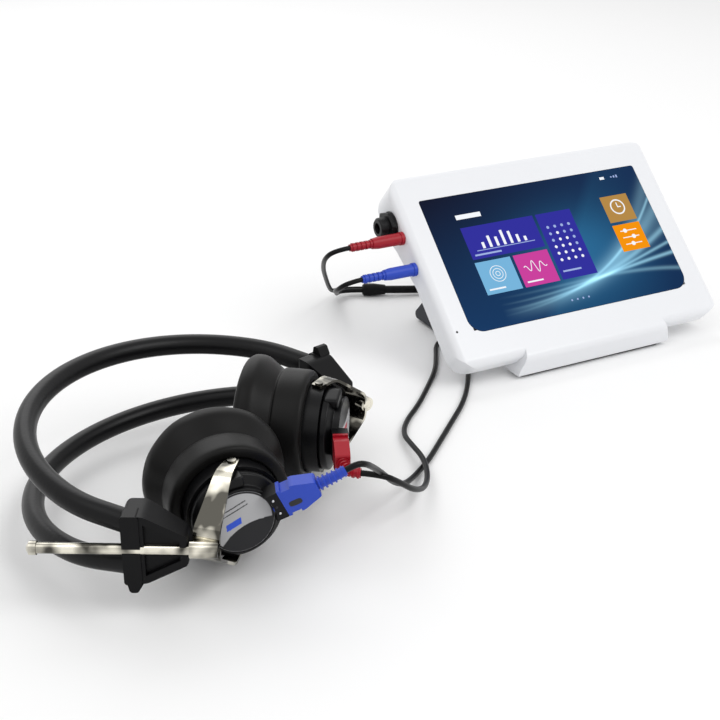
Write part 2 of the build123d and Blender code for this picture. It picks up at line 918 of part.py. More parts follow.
def make_fork():
    """The left fork and its pivot pins, in the holder's frame."""
    reach_x = pivot_ahead - fork_base_at
    reach_y = pivot_inward + rod_out
    reach = math.hypot(reach_x, reach_y)
    yaw = math.degrees(math.atan2(reach_y, reach_x))
    start = rod_radius + running_gap
    centre = pivot_half - fork_thick / 2
    tip = reach + fork_tip_past
    plate_half = fork_plate_half
    points = [
        (tip, centre),
        (reach - fork_flat, centre),
        (start + knuckle_wall / 2, plate_half),
        (start + knuckle_wall / 2, -plate_half),
        (reach - fork_flat, -centre),
        (tip, -centre),
    ]
    wide_bend = fork_flat * fork_bend_share
    bends = [wide_bend, plate_half, plate_half, wide_bend]
    spine = FilletPolyline(*points, radius=bends)
    strip = trace(spine, fork_thick)
    arms = extrude(Plane.XZ * strip, fork_base_long / 2, both=True)
    half_base = fork_base_long / 2
    half_tip = fork_tip_width / 2
    taper = [
        (0, -half_base),
        (start + knuckle_wall, -half_base),
        (tip + overrun, -half_tip),
        (tip + overrun, half_tip),
        (start + knuckle_wall, half_base),
        (0, half_base),
    ]
    plan = rounded(taper, [0, half_base, fork_tip_round, fork_tip_round, half_base, 0])
    arms = arms & extrude(plan, pivot_half + overrun, both=True)
    arms = Pos(fork_base_at, -rod_out, 0) * Rot(0, 0, yaw) * arms
    ring = Plane.YZ * Pos(-rod_out, 0) * Circle(rod_radius + knuckle_wall)
    knuckle = extrude(Pos(fork_base_at - half_base, 0, 0) * ring, fork_base_long)
    fork = arms + knuckle
    hole = Plane.YZ * Pos(-rod_out, 0) * Circle(rod_radius + running_gap)
    hole = extrude(Pos(fork_base_at - half_base - overrun, 0, 0) * hole, fork_base_long + 2 * overrun)
    fork = fork - hole
    pins = []
    for sign in (-1, 1):
        shank = extrude(
            Pos(pivot_ahead, pivot_inward, sign * (case_radius - pivot_pin_deep)) * Circle(pivot_pin_radius),
            sign * (pivot_half - case_radius + pivot_pin_deep),
        )
        head = extrude(
            Pos(pivot_ahead, pivot_inward, sign * pivot_half) * Circle(pivot_head_radius),
            sign * pivot_head_thick,
        )
        fork = fork - shank
        pins.append(shank + head)
    return fork, Compound(children=[pin.solid() for pin in pins])


def turned(points):
    """A piece turned about the earphone's axis, from points of station and radius."""
    return revolve(make_face(Polyline(*points, close=True)), Axis.X, 360)


def make_cushion():
    """The ear cushion: dished face, thick rim, drawn-in neck and a collar over the case."""
    face = rounded(
        [
            (ear_face, dish_radius),
            (ear_face, cushion_radius),
            (rim_back, cushion_radius),
            (neck_back, neck_radius),
            (neck_back, collar_radius),
            (collar_back, collar_radius),
            (collar_back, case_radius + running_gap),
            (case_front, case_radius + running_gap),
            (case_front, ear_hole),
            (ear_face + dish_deep, ear_hole),
        ],
        [
            rim_round,
            rim_round,
            rim_round,
            collar_round / 4,
            collar_round / 4,
            collar_round,
            collar_round / 2,
            0,
            collar_round / 2,
            rim_round,
        ],
    )
    return revolve(face, Axis.X, 360)


def socket_frame(clock):
    """Where the plug's direction starts: X along the plug, Z out of the back of the earphone."""
    lean = math.radians(socket_lean)
    turn = math.radians(clock)
    radial = Vector(0, math.cos(turn), math.sin(turn))
    along = radial * math.cos(lean) + Vector(1, 0, 0) * math.sin(lean)
    out = Vector(1, 0, 0) * math.cos(lean) - radial * math.sin(lean)
    return Plane(origin=(socket_station, 0, 0), x_dir=along, z_dir=out)


def make_capsule(clock):
    """The pieces of one earphone capsule, along X from the pivots."""
    case = turned(
        [
            (case_front, ear_hole),
            (case_front, case_radius),
            (case_back, case_radius),
            (case_back, case_radius - case_wall),
            (case_front + case_wall, case_radius - case_wall),
            (case_front + case_wall, ear_hole),
        ]
    )
    for sign in (-1, 1):
        seat = extrude(
            Pos(0, 0, sign * (case_radius - pivot_pin_deep)) * Circle(pivot_pin_radius + running_gap),
            sign * (pivot_half - case_radius + pivot_pin_deep),
        )
        case = case - seat
    cap_face = rounded(
        [
            (case_back, 0),
            (case_back, cap_step_radius),
            (cap_step, cap_step_radius),
            (cap_step + cap_round * 2, cap_radius),
            (cap_back, cap_radius),
            (cap_back, label_radius + seat_gap),
            (cap_back - label_thick, label_radius + seat_gap),
            (cap_back - label_thick, 0),
        ],
        [0, cap_round, cap_round, cap_round / 2, cap_round / 3, 0, 0, 0],
    )
    cap = revolve(cap_face, Axis.X, 360)
    frame = socket_frame(clock)
    block = frame * Pos((socket_root + socket_tip) / 2, 0, 0) * Box(
        socket_tip - socket_root, socket_width, socket_thick
    )
    block = fillet(block.edges().filter_by(GeomType.LINE).sort_by(Axis.X)[-1], cap_round / 2)
    inside = extrude(Plane.YZ.offset(case_back) * Circle(body_width), -body_width)
    block = block - inside
    label_space = extrude(Plane.YZ.offset(cap_back - label_thick) * Circle(label_radius + seat_gap), body_width)
    cap = cap + (block - label_space)
    pin_tips = []
    for sign in (-1, 1):
        pin = frame * Pos(socket_tip - contact_long, sign * contact_spacing / 2, 0) * Rot(0, 90, 0)
        pin = extrude(pin * Circle(contact_radius), contact_long)
        hole = frame * Pos(socket_tip - contact_long - overrun, sign * contact_spacing / 2, 0) * Rot(0, 90, 0)
        cap = cap - extrude(hole * Circle(contact_radius + running_gap), contact_long + 2 * overrun)
        pin_tips.append(pin)
    label = extrude(Plane.YZ.offset(cap_back - label_thick) * Circle(label_radius), label_thick)
    driver_start = case_front + case_wall
    driver = turned(
        [
            (driver_start, 0),
            (driver_start, driver_radius),
            (driver_start + driver_thick / 2, driver_radius),
            (driver_start + driver_thick, magnet_radius),
            (driver_start + driver_thick + magnet_thick, magnet_radius),
            (driver_start + driver_thick + magnet_thick, 0),
        ]
    )
    return {"case": case, "back_cap": cap, "label_plate": label, "driver": driver}, pin_tips, frame


def boot_stations(length, bend):
    """Places along a boot that bends by the angle over its length, as X, Y and heading."""
    count = 2 * ear_boot_ribs
    places = []
    for index in range(count + 1):
        share = index / count
        angle = math.radians(bend) * share
        if bend:
            radius = length / math.radians(bend)
            places.append((radius * math.sin(angle), radius * (1 - math.cos(angle)), angle))
        else:
            places.append((length * share, 0, 0))
    return places


def make_ear_plug(frame, pins, bend):
    """The two-pin plug of one earphone and its ribbed boot, and where the boot ends."""
    half_start = ear_plug_width / 2
    half_end = ear_plug_end_width / 2
    straight = ear_plug_long * ear_plug_straight_share
    outline = rounded(
        [
            (0, -half_start),
            (straight, -half_start),
            (ear_plug_long, -half_end),
            (ear_plug_long, half_end),
            (straight, half_start),
            (0, half_start),
        ],
        [0, half_end, half_end / 3, half_end / 3, half_end, 0],
    )
    body = extrude(outline, ear_plug_thick / 2, both=True)
    lead_in = Rectangle(ear_plug_notch * 2, ear_plug_notch)
    for sign in (-1, 1):
        cut = extrude(Pos(0, sign * half_start, 0) * lead_in, ear_plug_thick, both=True)
        body = body - Pos(straight / 2, 0, 0) * cut
    body = frame * Pos(socket_tip, 0, 0) * body
    for pin in pins:
        body = body + pin

    # The boot bends in the plane of the plug's X and Z
    origin = frame * Pos(socket_tip + ear_plug_long, 0, 0)
    places = boot_stations(ear_boot_long, bend)
    rib_half = ear_boot_long / (2 * ear_boot_ribs) * rib_fill_share / 2
    if bend:
        radius = ear_boot_long / math.radians(abs(bend))
        sign = 1 if bend > 0 else -1
        path = RadiusArc((0, 0), (places[-1][0], places[-1][1]), -sign * radius)
    else:
        path = Line((0, 0), (ear_boot_long, 0))
    path = Plane.XZ * path
    core = sweep(Plane(origin=(0, 0, 0), z_dir=(1, 0, 0)) * Circle(ear_boot_core), path=path)
    boot = core
    for index in range(ear_boot_ribs):
        x, y, angle = places[2 * index + 1]
        share = index / (ear_boot_ribs - 1)
        rib_radius = ear_boot_radius + (ear_boot_core - ear_boot_radius) * share / 2
        spot = Plane(origin=(x, 0, y), z_dir=(math.cos(angle), 0, math.sin(angle)))
        boot = boot + extrude(spot * Circle(rib_radius), rib_half, both=True)
    end = places[-1]
    end_way = (math.cos(end[2]), 0, math.sin(end[2]))
    end_place = origin * Location(Plane(origin=(end[0], 0, end[1]), z_dir=end_way))
    return body, origin * boot, end_place


def make_headset():
    """Every piece of the headset in the world frame, and where the two boots end."""
    place = headset_place()
    pieces = {}
    seats = []
    for name, sign in (("upper_band", 1), ("lower_band", -1)):
        full = band_tube(sign, band_radius, band_seat)
        wire = band_tube(sign, wire_radius, band_seat)
        seats.append(full)
        pieces[name] = full - wire
        pieces[name + "_spring"] = wire
    holder_at = holder_place()
    left_holder = holder_at * make_holder()
    right_holder = Rot(180, 0, 0) * left_holder
    for seat in seats:
        left_holder = left_holder - seat
        right_holder = right_holder - seat
    pieces["left_holder"] = left_holder
    pieces["right_holder"] = right_holder
    rod = make_rod()
    fork, pins = make_fork()
    flip = {"left": Pos(0, 0, 0), "right": Rot(180, 0, 0)}
    for side in ("left", "right"):
        turn = flip[side]
        pieces[side + "_rod"] = turn * holder_at * rod
        pieces[side + "_fork"] = turn * holder_at * fork
        pieces[side + "_pivot_pins"] = turn * holder_at * pins
    pivot = holder_at * Pos(pivot_ahead, pivot_inward, 0)
    pivots = {"left": pivot.position, "right": Vector(pivot.position.X, -pivot.position.Y, 0)}
    cushion = make_cushion()
    tilts = {"left": left_tilt, "right": right_tilt}
    clocks = {"left": left_socket_clock, "right": right_socket_clock}
    bends = {"left": left_boot_bend, "right": right_boot_bend}
    ends = {}
    for side in ("left", "right"):
        at = Pos(*pivots[side]) * Rot(0, 0, tilts[side])
        capsule, pin_tips, frame = make_capsule(clocks[side])
        plug, boot, end_place = make_ear_plug(frame, pin_tips, bends[side])
        pieces[side + "_cushion"] = at * cushion
        for name, piece in capsule.items():
            pieces[side + "_" + name] = at * piece
        pieces[side + "_earphone_plug"] = at * plug
        pieces[side + "_earphone_boot"] = at * boot
        ends[side] = place * at * end_place
    return {name: place * piece for name, piece in pieces.items()}, ends


def make_jack_plug(up):
    """A phone plug in the left side, pointing along -X, with its pin and ribbed boot."""
    half = body_width / 2
    face = -half
    tail = face - plug_long
    end = tail - boot_long
    body = side_profile(
        [
            (face, 0),
            (face, plug_radius + plug_flange_step),
            (face - plug_flange, plug_radius + plug_flange_step),
            (face - plug_flange, plug_radius),
            (tail + plug_flange * 2, plug_radius),
            (tail, boot_radius + boot_groove),
            (tail, 0),
        ],
        up,
        -phone_jack_back,
    )
    pin = side_cylinder(face, face + pin_long, up, -phone_jack_back, pin_radius)
    pitch = boot_long / boot_ribs
    points = [(tail, 0)]
    for index in range(boot_ribs):
        start = tail - index * pitch
        points.append((start, boot_radius))
        points.append((start - pitch * rib_fill_share, boot_radius))
        points.append((start - pitch * rib_fill_share, boot_radius - boot_groove))
        points.append((start - pitch, boot_radius - boot_groove))
    points.append((end, 0))
    boot = side_profile(points, up, -phone_jack_back)
    place = screen_place()
    end_point = (place * Pos(end, up, -phone_jack_back)).position
    return place * body, place * pin, place * boot, end_point


def cord(name, points, diameter):
    """A tube of straight runs and tangent arcs, each arc as large as its runs allow."""
    vectors = [Vector(*point) for point in points]
    radii = []
    for before, here, after in zip(vectors, vectors[1:], vectors[2:]):
        first = here - before
        second = after - here
        turn = math.radians(first.get_angle(second))
        radii.append(bend_share * min(first.length, second.length) / math.tan(turn / 2))
    path = FilletPolyline(*points, radius=radii)
    profile = Plane(origin=points[0], z_dir=path % 0) * Circle(diameter / 2)
    tube = sweep(profile, path=path)
    whole = path.length * math.pi * diameter**2 / 4
    print(name, "length", round(path.length, 1), "volume share", round(tube.volume / whole, 4))
    return tube


def half_turn_point(middle, radius, sign, low, high, share):
    """A point on a half turn of the coil, tilted about Y where it climbs."""
    across = math.hypot(radius, (high - low) / 2)
    x = middle - sign * radius * math.cos(math.pi * share)
    y = coil_y + sign * across * math.sin(math.pi * share)
    z = (low + high) / 2 - (high - low) / 2 * math.cos(math.pi * share)
    return (x, y, z)


def join_pieces():
    """The small mouldings where the cords meet, and where each cord enters them."""
    azimuth = math.radians(yoke_azimuth)
    way = Vector(math.cos(azimuth), math.sin(azimuth), 0)
    aside = Vector(-way.Y, way.X, 0)
    entry = Vector(yoke_x, yoke_y, yoke_radius)
    place = Pos(*entry) * Rot(0, 0, yoke_azimuth)
    points = [
        (0, 0),
        (0, yoke_radius - yoke_rim),
        (yoke_rim, yoke_radius),
        (yoke_long / 2, yoke_radius),
        (yoke_long, trunk_diameter / 2 + yoke_rim / 2),
        (yoke_long, 0),
    ]
    tail_yoke = place * revolve(make_face(Polyline(*points, close=True)), Axis.X, 360)
    exits = {
        "red_tail": entry + aside * yoke_entry,
        "blue_tail": entry - aside * yoke_entry,
        "trunk": entry + way * yoke_long,
    }
    azimuth = math.radians(splitter_azimuth)
    way = Vector(math.cos(azimuth), math.sin(azimuth), 0)
    aside = Vector(-way.Y, way.X, 0)
    entry = Vector(splitter_x, splitter_y, splitter_height / 2)
    block = Pos(splitter_long / 2, 0, 0) * Box(splitter_long, splitter_width, splitter_height)
    block = fillet(block.edges().filter_by(Axis.Z), splitter_corner)
    block = fillet(block.edges().group_by(Axis.Z)[-1], splitter_corner / 2)
    splitter = Pos(*entry) * Rot(0, 0, splitter_azimuth) * block
    exits["lead_trunk"] = entry
    exits["red_lead"] = entry + way * splitter_long - aside * (splitter_spacing / 2)
    exits["blue_lead"] = entry + way * splitter_long + aside * (splitter_spacing / 2)
    return {"tail_yoke": tail_yoke, "lead_splitter": splitter}, exits


def make_coil():
    """The wound store of spare cord behind the screen unit, one unbroken tube.

    Half turns about centres on one line: each is smaller than the last by half the pitch while
    the lower layer winds in, one climbs, and the upper layer winds out again.
    """
    pitch = trunk_diameter + coil_gap
    per_layer = coil_turns // 2
    low = trunk_diameter / 2
    high = low + trunk_diameter + coil_climb_gap
    radius = coil_radius + (per_layer - 1) * pitch / 2
    position = coil_x - radius
    sign = 1
    edges = [Line((position, coil_y - trunk_diameter, low), (position, coil_y, low))]
    turns = []
    climb_index = 2 * per_layer - 1
    for index in range(4 * per_layer - 1):
        start_level = low if index <= climb_index else high
        end_level = low if index < climb_index else high
        turn = (position + sign * radius, radius, sign, start_level, end_level)
        turns.append(turn)
        arc_points = [half_turn_point(*turn, share) for share in (0, 1 / 2, 1)]
        edges.append(ThreePointArc(*arc_points))
        position = position + 2 * sign * radius
        sign = -sign
        radius = radius + (pitch / 2 if index >= climb_index else -pitch / 2)
    edges.append(Line((position, coil_y, high), (position, coil_y - trunk_diameter, high)))
    path = Wire(edges)
    profile = Plane(origin=path @ 0, z_dir=path % 0) * Circle(trunk_diameter / 2)
    tube = sweep(profile, path=path)
    report_coil_gap(turns)
    whole = path.length * math.pi * trunk_diameter**2 / 4
    print("coil length", round(path.length, 1), "volume share", round(tube.volume / whole, 4))
    return tube, path @ 0, path @ 1


def report_coil_gap(turns):
    """Prints the least free gap between neighbouring turns, measured on points."""
    points = []
    along = 0.0
    count = 36
    for turn in turns:
        for index in range(count):
            share = index / count
            points.append((along + turn[1] * math.pi * share, half_turn_point(*turn, share)))
        along += turn[1] * math.pi
    least = None
    for first_index, (first_along, first) in enumerate(points):
        for second_along, second in points[first_index:]:
            if second_along - first_along > math.pi * trunk_diameter:
                gap = math.dist(first, second) - trunk_diameter
                if least is None or gap < least:
                    least = gap
    print("coil least gap", round(least, 2))


def main():
    os.makedirs("parts", exist_ok=True)
    pieces = make_screen_unit()
    pieces.update(make_stand())
    headset, boot_ends = make_headset()
    pieces.update(headset)
    tail_ends = {}
    for side, up in (("red", red_jack_up), ("blue", blue_jack_up)):
        body, pin, boot, end = make_jack_plug(up)
        pieces[side + "_jack_plug"] = body
        pieces[side + "_jack_pin"] = pin
        pieces[side + "_jack_boot"] = boot
        tail_ends[side] = end
    coil, coil_start, coil_end = make_coil()
    pieces["cord_coil"] = coil
    joins, exits = join_pieces()
    pieces.update(joins)
    routes = {
        "red_tail": ([tail_ends["red"]] + red_tail_route + [exits["red_tail"]], tail_diameter),
        "blue_tail": ([tail_ends["blue"]] + blue_tail_route + [exits["blue_tail"]], tail_diameter),
        "trunk_cord": ([exits["trunk"]] + trunk_route + [coil_start], trunk_diameter),
        "lead_trunk": ([coil_end] + lead_trunk_route + [exits["lead_trunk"]], trunk_diameter),
        "red_lead": ([exits["red_lead"]] + red_lead_route + [boot_ends["right"].position], lead_diameter),
        "blue_lead": ([exits["blue_lead"]] + blue_lead_route + [boot_ends["left"].position], lead_diameter),
    }
    for name, (points, diameter) in routes.items():
        pieces[name] = cord(name, points, diameter)
        print(name, [tuple(round(value, 2) for value in point) for point in (points[0], points[-1])])
    triangles = 0
    for name, piece in pieces.items():
        export_step(piece, "parts/" + name + ".step")
        mesh = piece.tessellate(0.1, 0.3)
        triangles += len(mesh[1])
    print(len(pieces), "nodes,", triangles, "triangles")


main()
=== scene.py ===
import bpy
import json
import math
import numpy as np
from mathutils import Matrix, Vector


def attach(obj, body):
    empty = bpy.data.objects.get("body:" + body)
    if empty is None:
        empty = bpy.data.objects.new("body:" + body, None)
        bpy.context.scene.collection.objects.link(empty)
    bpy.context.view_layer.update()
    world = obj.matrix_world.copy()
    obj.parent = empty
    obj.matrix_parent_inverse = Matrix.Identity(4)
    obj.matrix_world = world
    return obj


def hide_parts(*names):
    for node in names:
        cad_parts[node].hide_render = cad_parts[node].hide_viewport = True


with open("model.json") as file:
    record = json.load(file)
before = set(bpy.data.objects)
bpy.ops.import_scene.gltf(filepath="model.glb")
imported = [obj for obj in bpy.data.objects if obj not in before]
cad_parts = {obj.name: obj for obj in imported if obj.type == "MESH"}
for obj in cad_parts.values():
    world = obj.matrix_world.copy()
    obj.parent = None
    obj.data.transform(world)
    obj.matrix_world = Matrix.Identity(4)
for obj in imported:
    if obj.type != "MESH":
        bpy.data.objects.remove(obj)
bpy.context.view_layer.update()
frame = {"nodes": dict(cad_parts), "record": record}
print("frame loaded,", len(frame["nodes"]), "nodes")

mm = 0.001
headBody = "audiometer"  # the screen and the cords ride on it
joints = {joint["name"]: joint for joint in frame["record"]["behaviour"]["joints"]}

# The screen's lean in degrees, and how far the frame's origin lies below its middle and behind its face
screenPlace = {"lean": 43.0, "below": 67.0, "behind": 17.0}

# Each earphone's axis in degrees about the upright, its joint, and its plug's turn about that axis
earPlace = {
    "left": {"azimuth": -96.9, "joint": "left_tilt", "clock": 25.0},
    "right": {"azimuth": -38.0, "joint": "right_tilt", "clock": 178.0},
}


def turned(first, second, degrees):
    # two coordinates turned by an angle in their own plane
    angle = math.radians(degrees)
    cos, sin = math.cos(angle), math.sin(angle)
    return first * cos - second * sin, first * sin + second * cos


def screenToWorld(points):
    # points in mm across, up and out of the screen, turned back by the lean and moved from the origin
    up = points[..., 1] + screenPlace["below"]
    out = points[..., 2] + screenPlace["behind"]
    back, rise = turned(up, out, screenPlace["lean"])
    return np.stack([points[..., 0], back, rise], -1) * mm


def earToWorld(points, side):
    # points in mm along the earphone's axis, across it and up, turned to the axis and moved to the pivot
    x, y = turned(points[..., 0], points[..., 1], earPlace[side]["azimuth"])
    pivot = joints[earPlace[side]["joint"]]["pos_m"]
    return np.stack([x, y, points[..., 2]], -1) * mm + np.array(pivot)


def turnAbout(points, clock):
    # points of station, across and up turned round the earphone's axis by the clock angle
    across, up = turned(points[..., 1], points[..., 2], clock)
    return np.stack([points[..., 0], across, up], -1)


def gridMesh(name, points, closeU=False, closeV=False, colours=None, flip=False):
    # a grid of points, rows by columns, joined into quads: closeU joins the last row to the first, and
    # closeV the last column
    rows, columns = points.shape[:2]
    index = np.arange(rows * columns).reshape(rows, columns)
    here = index if closeU else index[:-1]
    after = np.roll(index, -1, 0) if closeU else index[1:]
    quads = np.stack([here, np.roll(here, -1, 1), np.roll(after, -1, 1), after], -1)
    if not closeV:
        quads = quads[:, :-1]
    quads = quads.reshape(-1, 4)
    if flip:
        quads = quads[:, ::-1]
    mesh = bpy.data.meshes.new(name)
    mesh.from_pydata(points.reshape(-1, 3).tolist(), [], quads.tolist())
    mesh.polygons.foreach_set("use_smooth", np.ones(len(mesh.polygons), dtype=bool))
    if colours is not None:
        layer = mesh.color_attributes.new("picture", "FLOAT_COLOR", "POINT")
        flat = np.concatenate([colours.reshape(-1, 3), np.ones((rows * columns, 1))], 1)
        layer.data.foreach_set("color", flat.ravel())
    mesh.update()
    piece = bpy.data.objects.new(name, mesh)
    bpy.context.collection.objects.link(piece)
    return piece


def dress(piece, material, body):
    # gives a new piece its finish, the body it rides on and its material slot
    piece.data.materials.append(material)
    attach(piece, body)


def closedSpline(corners, perCorner):
    # a smooth closed line through the middles of the runs: a quadratic curve bends at each corner
    corners = np.asarray(corners, float)
    before = (corners + np.roll(corners, 1, 0)) / 2
    after = (corners + np.roll(corners, -1, 0)) / 2
    share = (np.arange(perCorner) / perCorner)[None, :, None]
    curve = (1 - share) ** 2 * before[:, None] + 2 * share * (1 - share) * corners[:, None]
    return (curve + share ** 2 * after[:, None]).reshape(-1, corners.shape[1])


# What a finish has where it says nothing else, and the shader's inputs that take a value as it is
finishDefaults = {
    "metallic": 0.0, "specular": 0.5, "coat": 0.0, "coatRoughness": 0.1, "sheen": 0.0,
    "driftScale": 35.0, "tint": 0.08, "patchMiddle": 0.5, "patchWidth": 0.5, "roughnessSpread": 0.12,
    "grain": 0.1, "grainScale": 900.0, "grainDetail": 3.0, "grainDepth": 0.0001, "threadScale": 0.0,
}
principledSockets = {
    "Roughness": "roughness", "Metallic": "metallic", "Specular IOR Level": "specular",
    "Coat Weight": "coat", "Coat Roughness": "coatRoughness", "Sheen Weight": "sheen",
}


def addDrift(tree, shader, place, settings):
    # slow noise that mixes a darker and a lighter tint of the colour, and lowers and raises the roughness;
    # on most finishes the tint is a random tone, and on the nickel it paints reflection bands
    drift = tree.nodes.new("ShaderNodeTexNoise")
    drift.inputs["Scale"].default_value = settings["driftScale"]
    tree.links.new(place.outputs["Object"], drift.inputs["Vector"])
    patch = tree.nodes.new("ShaderNodeMapRange")
    patch.inputs["From Min"].default_value = settings["patchMiddle"] - settings["patchWidth"]
    patch.inputs["From Max"].default_value = settings["patchMiddle"] + settings["patchWidth"]
    tree.links.new(drift.outputs["Fac"], patch.inputs["Value"])
    tint = tree.nodes.new("ShaderNodeMix")
    tint.data_type = "RGBA"
    for socket, spread in (("A", -settings["tint"]), ("B", settings["tint"])):
        tinted = [min(1.0, c * (1 + spread)) for c in settings["colour"]]
        tint.inputs[socket].default_value = (*tinted, 1.0)
    tree.links.new(patch.outputs["Result"], tint.inputs["Factor"])
    tree.links.new(tint.outputs["Result"], shader.inputs["Base Color"])
    rough = tree.nodes.new("ShaderNodeMapRange")
    rough.inputs["To Min"].default_value = settings["roughness"] * (1 - settings["roughnessSpread"])
    rough.inputs["To Max"].default_value = settings["roughness"] * (1 + settings["roughnessSpread"])
    tree.links.new(drift.outputs["Fac"], rough.inputs["Value"])
    tree.links.new(rough.outputs["Result"], shader.inputs["Roughness"])


def addRelief(tree, shader, place, settings):
    # a fine grain from noise, or a screw thread from a wave where the finish has one
    if settings["threadScale"]:
        relief = tree.nodes.new("ShaderNodeTexWave")
        relief.inputs["Scale"].default_value = settings["threadScale"]
    else:
        relief = tree.nodes.new("ShaderNodeTexNoise")
        relief.inputs["Scale"].default_value = settings["grainScale"]
        relief.inputs["Detail"].default_value = settings["grainDetail"]
    tree.links.new(place.outputs["Object"], relief.inputs["Vector"])
    bump = tree.nodes.new("ShaderNodeBump")
    bump.inputs["Strength"].default_value = settings["grain"]
    bump.inputs["Distance"].default_value = settings["grainDepth"]
    tree.links.new(relief.outputs["Fac"], bump.inputs["Height"])
    tree.links.new(bump.outputs["Normal"], shader.inputs["Normal"])


def principled(name, finish):
    # one shader with the finish's own values, its drift and its relief
    settings = {**finishDefaults, **finish}
    material = bpy.data.materials.new(name)
    material.use_nodes = True
    tree = material.node_tree
    shader = tree.nodes["Principled BSDF"]
    shader.inputs["Base Color"].default_value = (*settings["colour"], 1.0)
    for socket, key in principledSockets.items():
        shader.inputs[socket].default_value = settings[key]
    place = tree.nodes.new("ShaderNodeTexCoord")
    addDrift(tree, shader, place, settings)
    addRelief(tree, shader, place, settings)
    return material


darkGlass = (0.004, 0.005, 0.008)  # what shows of the screen where its picture is black


def pictureMaterial(name, settings):
    # shows the piece's own colours, lit from inside where it has an emission
    material = bpy.data.materials.new(name)
    material.use_nodes = True
    tree = material.node_tree
    shader = tree.nodes["Principled BSDF"]
    attribute = tree.nodes.new("ShaderNodeAttribute")
    attribute.attribute_name = "picture"
    if settings["emission"]:
        shader.inputs["Base Color"].default_value = (*darkGlass, 1.0)
        tree.links.new(attribute.outputs["Color"], shader.inputs["Emission Color"])
        shader.inputs["Emission Strength"].default_value = settings["emission"]
    else:
        tree.links.new(attribute.outputs["Color"], shader.inputs["Base Color"])
    shader.inputs["Roughness"].default_value = settings["roughness"]
    shader.inputs["Specular IOR Level"].default_value = settings["specular"]
    return material


# Finishes, each for the nodes that it is on
finishes = {
    "whiteShell": {
        "colour": (0.78, 0.79, 0.815), "roughness": 0.32, "coat": 0.2, "coatRoughness": 0.15,
        "tint": 0.01, "grain": 0.05, "grainScale": 1500.0,
        "nodes": ["front_housing", "rear_housing", "foot_bar"],
    },
    "coverGlass": {
        "colour": (0.006, 0.010, 0.022), "roughness": 0.06, "coat": 0.6, "coatRoughness": 0.03,
        "tint": 0.05, "grain": 0.0,
        "nodes": ["touch_glass", "display_module"],
    },
    "board": {
        "colour": (0.03, 0.18, 0.08), "roughness": 0.4, "tint": 0.2, "grain": 0.3,
        "nodes": ["main_board"],
    },
    "wrap": {"colour": (0.10, 0.10, 0.12), "roughness": 0.45, "nodes": ["battery_pack"]},
    "steel": {
        "colour": (0.52, 0.53, 0.55), "roughness": 0.3, "metallic": 1.0, "grain": 0.2,
        "nodes": ["housing_screws", "stand_pin", "charge_port", "red_jack_pin", "blue_jack_pin"],
    },
    "blackMetal": {
        "colour": (0.008, 0.008, 0.009), "roughness": 0.3, "specular": 0.2, "grain": 0.5,
        "grainDepth": 0.0003, "threadScale": 314.0,
        "nodes": ["patient_jack", "patient_jack_nut"],
    },
    "blackBody": {
        "colour": (0.02, 0.02, 0.02), "roughness": 0.5, "specular": 0.3,
        "nodes": ["right_phone_jack", "left_phone_jack", "power_switch"],
    },
    "keyGrey": {"colour": (0.42, 0.44, 0.47), "roughness": 0.4, "grain": 0.2, "nodes": ["power_key"]},
    "standGrey": {
        "colour": (0.034, 0.036, 0.043), "roughness": 0.5, "specular": 0.2,
        "grain": 0.35, "grainScale": 1200.0,
        "nodes": ["rear_stand"],
    },
    "gripRubber": {
        "colour": (0.02, 0.02, 0.02), "roughness": 0.8, "grain": 0.4,
        "nodes": ["foot_strip", "stand_pads"],
    },
    "redMoulding": {
        "colour": (0.33, 0.006, 0.016), "roughness": 0.36, "specular": 0.3, "grain": 0.15, "tint": 0.12,
        "nodes": ["red_jack_plug", "red_jack_boot", "right_earphone_plug", "right_earphone_boot"],
    },
    "blueMoulding": {
        "colour": (0.020, 0.060, 0.46), "roughness": 0.36, "specular": 0.3, "grain": 0.15, "tint": 0.12,
        "nodes": ["blue_jack_plug", "blue_jack_boot", "left_earphone_plug", "left_earphone_boot"],
    },
    "cableSheath": {
        "colour": (0.004, 0.004, 0.0045), "roughness": 0.34, "specular": 0.12, "grain": 0.12,
        "nodes": ["tail_yoke", "lead_splitter"],
    },
    "bandSleeve": {
        "colour": (0.0045, 0.0045, 0.005), "roughness": 0.34, "specular": 0.17, "driftScale": 60.0,
        "grain": 0.3, "grainScale": 650.0, "grainDepth": 0.0002,
        "nodes": ["upper_band", "lower_band"],
    },
    "holderBlack": {
        "colour": (0.0035, 0.0035, 0.004), "roughness": 0.36, "specular": 0.13,
        "grain": 0.25, "grainScale": 1400.0,
        "nodes": ["left_holder", "right_holder"],
    },
    "springSteel": {
        "colour": (0.5, 0.5, 0.5), "roughness": 0.35, "metallic": 1.0,
        "nodes": ["upper_band_spring", "lower_band_spring"],
    },
    # the strong tint in narrow patches paints dark and bright reflection bands into the nickel's colour
    "nickelPaintedReflections": {
        "colour": (0.44, 0.42, 0.36), "roughness": 0.14, "metallic": 1.0, "tint": 0.86,
        "patchWidth": 0.1, "driftScale": 75.0, "grain": 0.04,
        "nodes": [side + part for side in earPlace for part in ("_rod", "_fork", "_pivot_pins")],
    },
    "capsuleBlack": {
        "colour": (0.004, 0.004, 0.0045), "roughness": 0.30, "specular": 0.16,
        "grain": 0.2, "grainScale": 1500.0,
        "nodes": [side + part for side in earPlace for part in ("_case", "_back_cap", "_driver")],
    },
    "softRubber": {
        "colour": (0.004, 0.0038, 0.0037), "roughness": 0.40, "specular": 0.14, "sheen": 0.01,
        "grain": 0.2,
        "nodes": [],
    },
    "labelEdge": {
        "colour": (0.35, 0.35, 0.36), "roughness": 0.4, "metallic": 0.6,
        "nodes": ["left_label_plate", "right_label_plate"],
    },
}
materials = {}
for finishName, finish in finishes.items():
    materials[finishName] = principled(finishName, finish)
    for nodeName in finish["nodes"]:
        for materialSlot in frame["nodes"][nodeName].material_slots:
            materialSlot.material = materials[finishName]
print("finishes on the frame's nodes")


